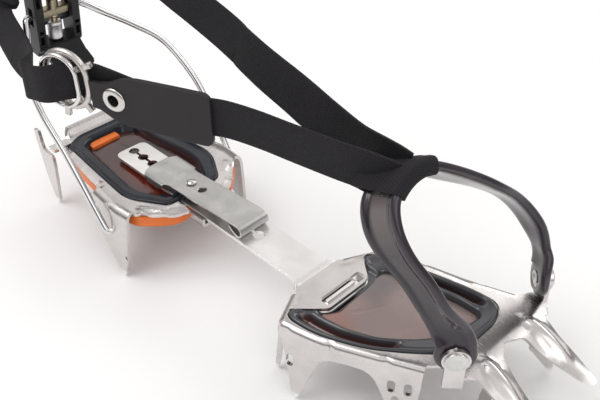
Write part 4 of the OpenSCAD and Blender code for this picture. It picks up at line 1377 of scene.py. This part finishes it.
def embossedMarks():
    # plain raised size marks on the strap's panel: a square ring and two bars each side of the webbing
    parts = []
    for where, flip in ((0.415, 1), (0.605, -1)):
        i = min(range(len(toePath)), key=lambda n: abs(toeLens[n] / toeLens[-1] - where))
        a, o = toeFrames[i]
        p, t = toePath[i], routeTangents(toePath)[i]
        base = p - o * (0.47 * toe["thick"] - toe["recess"] + 0.05)
        for u0, u1, v0, v1 in ((-2.4, 2.4, 1.7, 2.3), (-2.4, 2.4, -2.3, -1.7), (-2.4, -1.8, -1.7, 1.7),
                (1.8, 2.4, -1.7, 1.7),
                               (-0.8, 0.8, -0.6, 0.6), (-3.6, 0.4, -4.6, -4.0), (-0.6, 3.6, -6.0, -5.4)):
            corner = []
            for h in (-0.3, 0.3):
                corner += [base + a * u + t * v * flip - o * h for u, v in ((u0, v0), (u1, v0), (u1, v1), (u0, v1))]
            parts.append(makeMesh("mark", corner, [(0, 3, 2, 1), (4, 5, 6, 7), (0, 1, 5, 4), (1, 2, 6, 5),
                (2, 3, 7, 6), (3, 0, 4, 7)]))
    whole = tidyMesh(joinPieces("strapMarks", parts))
    addStack(whole, softEdge(0.12, 2), flatShade)
    return finishPiece(whole, "toe", smokeElastomer)


embossedMarks()
for side, nm in ((-1, "near"), (1, "far")):
    at, wide, out = lugPlace(side)
    rivet = turned(nm + "Rivet", [(0, 1.25), (3.2, 1.2), (4.5, 1.05), (4.75, 0.95), (4.85, 0.98), (5.1, 1.02),
        (5.4, 0.85), (5.5, 0.5), (5.5, 0.06), (2.4, 0.06),
                                  (2.4, -6.8), (3.3, -6.95), (3.3, -7.3), (2.6, -7.45), (1.7, -7.3), (1.2, -6.9),
                                  (0, -6.85)], at, out, 48)
    finishPiece(rivet, "front", clipSteel, ["toe_rivets"] if side < 0 else [])
    washer = turned(nm + "Washer", [(2.46, -5.97), (5.5, -5.97), (5.5, -6.35), (5.35, -6.62), (5.0, -6.74),
        (4.4, -6.74), (4.2, -6.6), (3.9, -6.6), (3.7, -6.74), (3.3, -6.74), (2.46, -6.7), (2.46, -5.97)][::-1],
                    at, out, 48)
    finishPiece(washer, "front", brightMetal, ["toe_washers"] if side < 0 else [])
print("toe strap made")


# heel bail, lever and its adjuster
bail = {
    "hinge": Vector((-121.5, 0, -16)), "lean": 55.0, "wire": 4.0,
    "near": [(0, -40.5), (0, -43.6), (0.15, -46.2), (1.0, -47.8), (3.2, -48.5), (14, -48.8), (50, -49.5), (75, -51),
    (92, -49.5), (106, -44.5), (118, -38.5), (125.2, -35.4), (127.4, -34.0), (128, -31.6), (128, -27)],
    "far": [(128, -7), (128, -2.4), (127.4, 0), (125.4, 2.7), (118, 11), (105, 26), (90, 40), (70, 47.5), (50, 50.5),
    (20, 49.5), (3.2, 48.5), (1.0, 47.8), (0.15, 46.2), (0, 43.6), (0, 40.5)],
}


def onBail(d, y):
    a = math.radians(bail["lean"])
    return bail["hinge"] + Vector((-d * math.cos(a), y, d * math.sin(a)))


wire = tube("heelBail", [onBail(d, y) for d, y in bail["near"] + bail["far"]], bail["wire"] / 2, 1.4, 18,
    side=(math.sin(math.radians(55)), 0, math.cos(math.radians(55))))
finishPiece(wire, "bail", wireSteel, ["heel_bail"])

lever = {"tilt": 10.0, "y": -17.0, "low": -22.0, "high": 34.0, "half": 14.0, "rail": 5.0}
wireAt = onBail(128, lever["y"])
leverTurn = Matrix.Rotation(math.radians(lever["tilt"]), 3, "Y")


def onLever(x, y, z):
    return wireAt + leverTurn @ Vector((x, y, z))


def boxMesh(name, x0, x1, y0, y1, z0, z1, place=None):
    corners = [(x, y, z) for x in (x0, x1) for y in (y0, y1) for z in (z0, z1)]
    piece = makeMesh(name, [place(*c) for c in corners] if place else corners,
                     [(0, 1, 3, 2), (4, 6, 7, 5), (0, 4, 5, 1), (2, 3, 7, 6), (0, 2, 6, 4), (1, 5, 7, 3)])
    return tidyMesh(piece)


def loftBlock(name, outline, halfWidths, place):
    # outline (x, z) closed, drawn at several widths across: [(y, inset)]
    verts = []
    mid = sum((Vector(p) for p in outline), Vector((0, 0))) / len(outline)
    for y, inset in halfWidths:
        for p in outline:
            q = Vector(p) - (Vector(p) - mid).normalized() * inset
            verts.append(place(q.x, y, q.y))
    m, rows = len(outline), len(halfWidths)
    faces = ringFaces(rows, m)
    faces += capFaces(rows, m)
    return tidyMesh(makeMesh(name, verts, faces))


def buildLever():
    s = lever
    side = softPath([(5.9, -20.5, 3), (5.9, 6, 3), (5.0, 14, 3), (5.2, 33.6, 1.5), (-5.4, 33.8, 1.5), (-5.9, 12, 3),
        (-5.9, -14, 2), (-4.4, -21.6, 2), (-5.6, -25.8, 1), (2.6, -25.9, 1), (3.8, -22, 1.5)], 1.5, 2.0, True)
    body = loftBlock("heelLever", side, [(-s["half"], 0.7), (-s["half"] + 0.7, 0), (s["half"] - 0.7, 0),
        (s["half"], 0.7)], onLever)
    win = s["half"] - s["rail"]
    cuts = [boxMesh("cut", -9, 9, -win, win, -18.4, -8.1, onLever),
        boxMesh("cut", -9, 9, -win, win, -6.3, 12, onLever), boxMesh("cut", -0.2, 9, -win, win, -9, -5, onLever),
            boxMesh("cut", -4.2, -0.8, -s["half"] - 2, s["half"] + 2, 17, 39, onLever)]
    for sd in (-1, 1):
        y0, y1 = (win - 1, s["half"] + 1) if sd > 0 else (-s["half"] - 1, -win + 1)
        cuts.append(boxMesh("cut", -2.1, 2.1, y0, y1, -5.6, 5.6, onLever))
        # hollows between the ribs of the rails
        for z0, z1 in ((-16.5, -11), (-9.5, -7.2), (7.4, 14.8)):
            cuts.append(boxMesh("cut", 2.6, 7, *(sorted((sd * (win + 1.3), sd * (s["half"] - 1.2)))), z0, z1,
                onLever))
        cuts.append(boxMesh("cut", -7, -3.4, *(sorted((sd * (win + 1.3), sd * (s["half"] - 1.2)))), -12, 13, onLever))
    cuts.append(boxMesh("cut", 2.2, 8, -7.5, 7.5, 14.5, 31.5, onLever))
    hole = turned("cut", [(0, -4), (2.4, -4), (2.4, -10), (0, -10)], wireAt, leverTurn @ Vector((0, 0, 1)), 24)
    tool = joinPieces("cut", cuts)
    for t in (tool, hole):
        addStack(body, ("BOOLEAN", {"operation": "DIFFERENCE", "object": t, "solver": "EXACT", "use_self": True}))
        bakeStack(body)
        bpy.data.objects.remove(t)
    tidyMesh(body, gap=0.00001, turn=False)
    parts = [body]
    claw = softPath([(3.6, -18.4), (6.0, -18.4, 1), (8.6, -20.6, 3), (13, -23, 4), (21.5, -26.6, 1), (21.0, -29.2, 1),
        (11.4, -26.4, 4), (5.0, -21.4, 4)], 2, 1.6, True)
    parts.append(loftBlock("claw", claw, [(-11.8, 0.7), (-11.1, 0), (11.1, 0), (11.8, 0.7)], onLever))
    # ribs across the lever's front face, above the window
    for z in (16.5, 20.5, 24.5, 28.5):
        parts.append(boxMesh("rib", 1.6, 4.6, -7.6, 7.6, z, z + 1.2, onLever))
    whole = joinPieces("heelLever", parts)
    addStack(whole, softEdge(0.55, 3, 40), flatShade)
    return finishPiece(whole, "lever", leverPlastic, ["heel_lever"])


buildLever()
up = leverTurn @ Vector((0, 0, 1))
# threaded rod and the block that turns on the wire
block = loftBlock("leverCarriage", softPath([(3.1, -2.5, 1.2), (3.1, 2.5, 1.2), (-3.1, 2.5, 1.2), (-3.1, -2.5, 1.2)],
    1.2, 1.2, True), [(-8.3, 0.4), (-7.9, 0), (7.9, 0), (8.3, 0.4)], onLever)
bore = tube("bore", [onLever(0, y, 0) for y in (-12, -6, 0, 6, 12)], 2.08, 3, 24, side=(1, 0, 0))
addStack(block, ("BOOLEAN", {"operation": "DIFFERENCE", "object": bore, "solver": "EXACT"}))
bakeStack(block)
bpy.data.objects.remove(bore)
thread = [(3.3 if i % 2 == 0 else 2.9, 8.4 - i * 0.5) for i in range(23)] + [(1.98 if i % 2 == 0 else 1.6,
    -3.4 - i * 0.5) for i in range(20)]
rod = turned("rod", [(0, 8.9), (2.6, 8.8)] + thread + [(1.5, -13.5), (0, -13.6)], wireAt, up, 32)
whole = joinPieces("leverCarriage", [block, rod])
addStack(whole, softEdge(0.2, 2, 40), flatShade)
finishPiece(whole, "carriage", threadBrass, ["lever_carriage"])


def buildBarrel():
    # knurled thumb barrel: fluted round its sides, with smooth collars
    n, rows = 72, [(-17.55, 3.6, 0), (-17.4, 4.0, 0), (-17.0, 4.25, 0), (-16.4, 4.3, 0), (-16.2, 4.2, 1),
        (-8.4, 4.2, 1), (-8.2, 4.3, 0), (-7.0, 4.3, 0), (-6.6, 4.1, 0), (-6.45, 3.7, 0), (-6.45, 2.12, 0),
        (-16.9, 2.12, 0)]
    verts = []
    for z, r, flute in rows:
        for k in range(n):
            a = 2 * math.pi * k / n
            q = r - flute * 0.18 * (0.5 - 0.5 * math.cos(a * 24))
            verts.append(onLever(q * math.cos(a), q * math.sin(a), z))
    faces = ringFaces(len(rows), n)
    faces += capFaces(len(rows), n)
    piece = tidyMesh(makeMesh("adjustBarrel", verts, faces))
    piece.data.set_sharp_from_angle(angle=math.radians(50))
    return finishPiece(piece, "barrel", barrelMetal, ["adjust_barrel"])


buildBarrel()
print("bail and lever made")


# ankle strap
strap = {"wide": 20.0, "thick": 1.5, "step": 1.5}


def webbingRun(name, points, blendTo, body=None, replaced=(), acrossDir=(0, 0, 1), weaveStart=0.0):
    # one strip; blendTo is (body, body, start, end), of which only whether it is given is read: such a strip is left
    # unattached; weaveStart carries the weave on from the strip before
    path = smoothRoute(points, strap["step"])
    section = strapSection(strap["wide"], strap["thick"], 0.55)
    facing = (lambda i: acrossDir(path[i].x, path[i].z)) if callable(acrossDir) else acrossDir
    piece = sweep(name, path, section, strapFrames(path, facing))
    layer = piece.data.uv_layers["run"]
    for lp in piece.data.loops:
        layer.data[lp.index].uv[0] += weaveStart
    piece.data.set_sharp_from_angle(angle=math.radians(75))
    finishPiece(piece, body, webbing, replaced)
    if blendTo:
        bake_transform(piece)
    return piece


def cutRoute(points, x0, x1, step=4.0):
    # the stretch of a route between two places along x
    path = smoothRoute(points, 0.5)
    part = [p for p in path if min(x0, x1) - 0.26 <= p.x <= max(x0, x1) + 0.26]
    out, last = [part[0]], part[0]
    for p in part[1:-1]:
        if (p - last).length > step:
            out.append(p)
            last = p
    if (out[-1] - part[-1]).length < step * 0.4 and len(out) > 2:
        out.pop()
    return out + [part[-1]]


outerRoute = [(46.5, -4.5, 86.2), (41, -7.2, 87.9), (35, -9, 88.5), (22, -12, 88.5), (0, -16, 88.5),
    (-20, -19.5, 88.5), (-38, -23, 87.3), (-52, -28.5, 85.6)]
innerRoute = [(46.0, 4.5, 87.0), (41, 3.8, 88.4), (35, 3.2, 89.2), (20, 3, 90), (0, 3, 93), (-20, 4.5, 97),
    (-42, 7, 100), (-60, 10.4, 102), (-70, 13, 103),
              (-90, 16.5, 105), (-123, 21, 108), (-155, 24, 111), (-178, 20, 113), (-187.5, 10, 115),
              (-190.6, 1.6, 116.6)]


def inMetres(x, y, z):
    return (x * 0.001, y * 0.001, z * 0.001)


def innerLean(x, z):
    lean = 0.62 * ease((28 - x) / 40) * ease((x + 178) / 50)
    return Vector((-0.5 * lean, 0.72 * lean, 1))


def strapPieces(name, route, cuts, replaced, facing=None):
    # cuts are (from, to, body before, body after), and None for a stretch that rides on one body
    along = 0.0
    for i, (x0, x1, first, second) in enumerate(cuts):
        part = cutRoute(route, x0, x1)
        a, b = (part[0], part[-1]) if abs(part[0].x - x0) < abs(part[-1].x - x0) else (part[-1], part[0])
        if a is not part[0]:
            part = part[::-1]
        pad = (part[-1] - part[-2]).normalized() * 0.15
        pts = [part[0] - (part[1] - part[0]).normalized() * 0.15] + part[1:-1] + [part[-1] + pad]
        blend = (first, second, inMetres(a.x, a.y, a.z), inMetres(b.x, b.y, b.z)) if second else None
        webbingRun(name + str(i + 1), pts, blend, None if blend else first, replaced if i == 0 else (),
            facing or (0, 0, 1), weaveStart=along)
        along += sum((part[j + 1] - part[j]).length for j in range(len(part) - 1)) * 0.001


strapPieces("outerRun", outerRoute, [(46.5, 34, "toe", None), (34, 2, "toe", "front"), (2, 0, "front", "bar"),
    (0, -26, "bar", "heel"), (-26, -46, "heel", "bail")],
            ["webbing_outer"])
strapPieces("innerRun", innerRoute, [(46.0, 34, "toe", None), (34, 0, "toe", "front"), (0, -4, "front", "bar"),
    (-4, -38, "bar", "heel"), (-38, -66, "heel", "bail"),
                                     (-66, -150, "bail", None), (-150, -190.6, "bail", "carriage")],
                                     ["webbing_inner_front", "webbing_inner_rear"], innerLean)
print("strap runs made")
# the webbing flattens over the toe strap and folds round it
wrap = {"from": -12.2, "to": 11.0, "thick": 1.3,
        "section": [(12.7, 0.2), (12.5, -2.6), (11.2, -4.1), (6, -4.6), (0, -4.8), (-5, -5.5), (-9, -6.8),
        (-12.6, -8.2), (-13.0, -7.2), (-11.9, -4.2),
                    (-11.4, -1), (-11.0, 2.2), (-9.6, 4.0), (-5, 4.3), (0, 4.3), (6, 4.3), (11.0, 4.0), (12.4, 2.6)]}


def buildWrap():
    s = wrap
    idx = [i for i, p in enumerate(toePath) if s["from"] <= p.y <= s["to"] and p.z > 79.5]
    sec = softPath([(u, v, 1.2) for u, v in s["section"]], 1.2, 1.2, True)
    verts, uvs, k = [], [], len(sec)
    around = [0.0]
    for j in range(1, k):
        around.append(around[-1] + (sec[j] - sec[j - 1]).length * 0.001)
    for n, i in enumerate(idx):
        a, o = toeFrames[i]
        t = n / (len(idx) - 1) - 0.5
        for j, p in enumerate(sec):
            crease = 0.25 * math.sin(j * 0.9 + n * 0.35)
            q = toePath[i] + a * (p.x + 2.4 * t * (1 if p.x > 0 else 0.4)) + o * (p.y + crease * 0.5)
            verts.append(q)
            uvs.append((around[j], (toeLens[i] - toeLens[idx[0]]) * 0.001))
    faces = [(n * k + j, n * k + (j + 1) % k, (n + 1) * k + (j + 1) % k, (n + 1) * k + j) for n in range(len(idx) - 1)
        for j in range(k)]
    piece = tidyMesh(makeMesh("webbingWrap", verts, faces, uvs))
    centre = toePath[idx[len(idx) // 2]] * 0.001
    bm = bmesh.new()
    bm.from_mesh(piece.data)
    if sum((f.calc_center_median() - centre).dot(f.normal) for f in bm.faces) < 0:
        bmesh.ops.reverse_faces(bm, faces=bm.faces)
    bm.to_mesh(piece.data)
    bm.free()
    addStack(piece, wall(s["thick"]), softEdge(0.35, 2, 50))
    return finishPiece(piece, "toe", webbing, ["webbing_wrap"])


buildWrap()

# from the lever's keeper round to the buckle
tiltedUp = leverTurn @ Vector((0, 0, 1))
loopRoute = [(-190.6, 1.6, 116.6), (-192.1, -1.2, 116.9), (-192.5, -5, 116.9), (-192.5, -17, 116.9),
    (-192.5, -31, 116.9), (-193.6, -35.0, 115.6), (-197.6, -39.0, 111.0), (-201, -41, 104)]
webbingRun("leverRun1", loopRoute[0:3], ("carriage", "lever", inMetres(*loopRoute[0]), inMetres(*loopRoute[2])), None,
    ["webbing_lever_loop"], tiltedUp)
webbingRun("leverRun2", loopRoute[2:5], None, "lever", (), tiltedUp)
webbingRun("leverRun3", loopRoute[4:7], ("lever", "carriage", inMetres(*loopRoute[4]), inMetres(*loopRoute[6])), None,
    (), tiltedUp)
hangRoute = [(-197.6, -39.0, 111.0), (-202.2, -41.4, 103.5), (-203.4, -43.2, 96), (-199.4, -45.6, 90.4),
    (-190, -47.8, 86.2), (-176, -51.0, 83.4)]
webbingRun("hangingRun", hangRoute, ("carriage", "bail", inMetres(-200, -40, 107), inMetres(-180, -50, 82)), None, (),
    lambda x, z: Vector((0.17, 0, 1)).lerp(Vector((0.42, 0.42, 0.8)), ease((112 - z) / 16)))

patch = {"at": Vector((-106, -51, 85)), "turn": 21.725, "thick": 3.0,
         "outline": [(1.5, -7.2, 1), (6, -7.5, 4), (15.5, -12.9, 6), (26, -13.7, 4), (68, -14, 5), (68, 14, 5),
         (27, 13.3, 6), (20, 12.2, 5), (10.5, 7.5, 5), (1.5, 7.2, 1)]}
pc, ps = math.cos(math.radians(patch["turn"])), math.sin(math.radians(patch["turn"]))


def onPatch(x, y, z):
    return patch["at"] + Vector((x * pc + z * ps, x * ps - z * pc, y))


buckleRoute = [(-176, -51.0, 83.4), (-163, -54.0, 82.6), (-151, -57.0, 83.6)] \
    + [tuple(onPatch(x, y, z)) for x, y, z in ((-38, 0.4, 2.0), (-31, 1.4, 4.8), (-25, 2.4, 6.3), (-19.5, 3.4, 6.0),
        (-15, 4.2, 3.4), (-10, 4.6, 0.2), (-4, 4.8, -2.9), (3, 4.4, -3.9), (14, 2.6, -4.0), (36, -1.6, -4.0))]
webbingRun("buckleRun", buckleRoute, None, "bail", ["webbing_to_buckle", "webbing_tail"],
           lambda x, z: Vector((0.42, 0.42, 0.8)).lerp(Vector((0, 0, 1)), ease((x + 176) / 40)))


def buildPatch():
    s = patch
    outline = softPath(s["outline"], 4, 1.8, True)
    hole = [Vector((15 + 4.05 * math.cos(k * math.pi / 14), 4.05 * math.sin(k * math.pi / 14))) for k in range(28)]
    verts, faces = fillSheet([outline, hole], 2.2, 0.05)
    made = []
    for v in verts:
        edge = min((v - p).length for p in outline)
        z = 1.5 + 0.22 * math.exp(-((edge - 2.0) / 0.5) ** 2) - 0.25 * ease((40 - abs(v.x - 42)) / 30) * (1 - (v.y / 14) ** 2)
        made.append(onPatch(v.x, v.y, z))
    piece = makeMesh("buckle_patch_skin", made, faces)
    tidyMesh(piece, up=Vector((ps, -pc, 0)))
    piece.name = "bucklePatch"
    addStack(piece, wall(s["thick"]), softEdge(0.4, 3, 50), flatShade)
    return finishPiece(piece, "bail", patchRubber, ["buckle_patch"])


buildPatch()
eyelet = turned("patchEyelet", [(3.0, 2.0), (3.15, 2.4), (3.6, 2.62), (4.4, 2.66), (5.4, 2.45), (6.1, 2.05),
    (6.3, 1.75), (6.2, 1.62), (4.0, 1.6), (4.0, -1.6), (6.2, -1.62), (6.3, -1.75),
                                (6.1, -2.05), (5.4, -2.45), (4.4, -2.6), (3.6, -2.6), (3.15, -2.4), (3.0, -2.0),
                                (3.0, 2.0)], onPatch(15, 0, 0), (ps, -pc, 0), 56)
finishPiece(eyelet, "bail", brightMetal, ["patch_eyelet"])

ring = {"centre": (-12, 5), "radius": 11.9, "spread": 3.0, "wire": 1.75,
    "ears": [(8.6, 7.6, 25), (7.0, -9.4, -52), (-2.4, -13.0, -100)]}


def ovalPoints(cx, cy, r, spread, height, steps=26):
    pts = []
    for sgn in (1, -1):
        for k in range(steps + 1):
            a = math.pi * k / steps + (0 if sgn > 0 else math.pi)
            x, y = cx + r * math.cos(a), cy + sgn * spread + r * math.sin(a)
            pts.append(onPatch(x, y, height(x) if callable(height) else height))
    return pts


def buildRing():
    s = ring
    cx, cy = s["centre"]
    hoop = tube("hoop", ovalPoints(cx, cy, s["radius"], s["spread"], 0), s["wire"], sides=16, closed=True, side=None)
    parts = [hoop]
    for x, y, ang in s["ears"]:
        c, n = math.cos(math.radians(ang)), math.sin(math.radians(ang))
        outline = softPath([(-2.4, -1.5, .5), (6.6, -1.35, 1.2), (7.8, -1.7, 0.8), (8.0, 1.7, 0.8), (6.6, 1.35, 1.2),
            (-2.4, 1.6, .5)], 1, 1.2, True)
        verts, m = [], len(outline)
        for h, inset in ((-1.35, 0.3), (-1.1, 0), (1.1, 0), (1.35, 0.3)):
            for p in outline:
                u, v = p.x - math.copysign(inset, p.x - 3), p.y - math.copysign(inset, p.y)
                verts.append(onPatch(cx + x + u * c - v * n, cy + y + u * n + v * c, h))
        faces = ringFaces(4, m)
        faces += capFaces(4, m)
        parts.append(tidyMesh(makeMesh("ear", verts, faces)))
    whole = joinPieces("buckleRing", parts)
    whole.data.set_sharp_from_angle(angle=math.radians(60))
    return finishPiece(whole, "bail", castMetal, ["buckle_ring"])


buildRing()
hoop = tube("buckleWire", ovalPoints(ring["centre"][0] - 2, ring["centre"][1], 9.9, 4.0, lambda x: 3.1), 1.15,
    sides=14, closed=True)
finishPiece(hoop, "bail", brightMetal, ["buckle_wire"])
print("strap and buckle made")
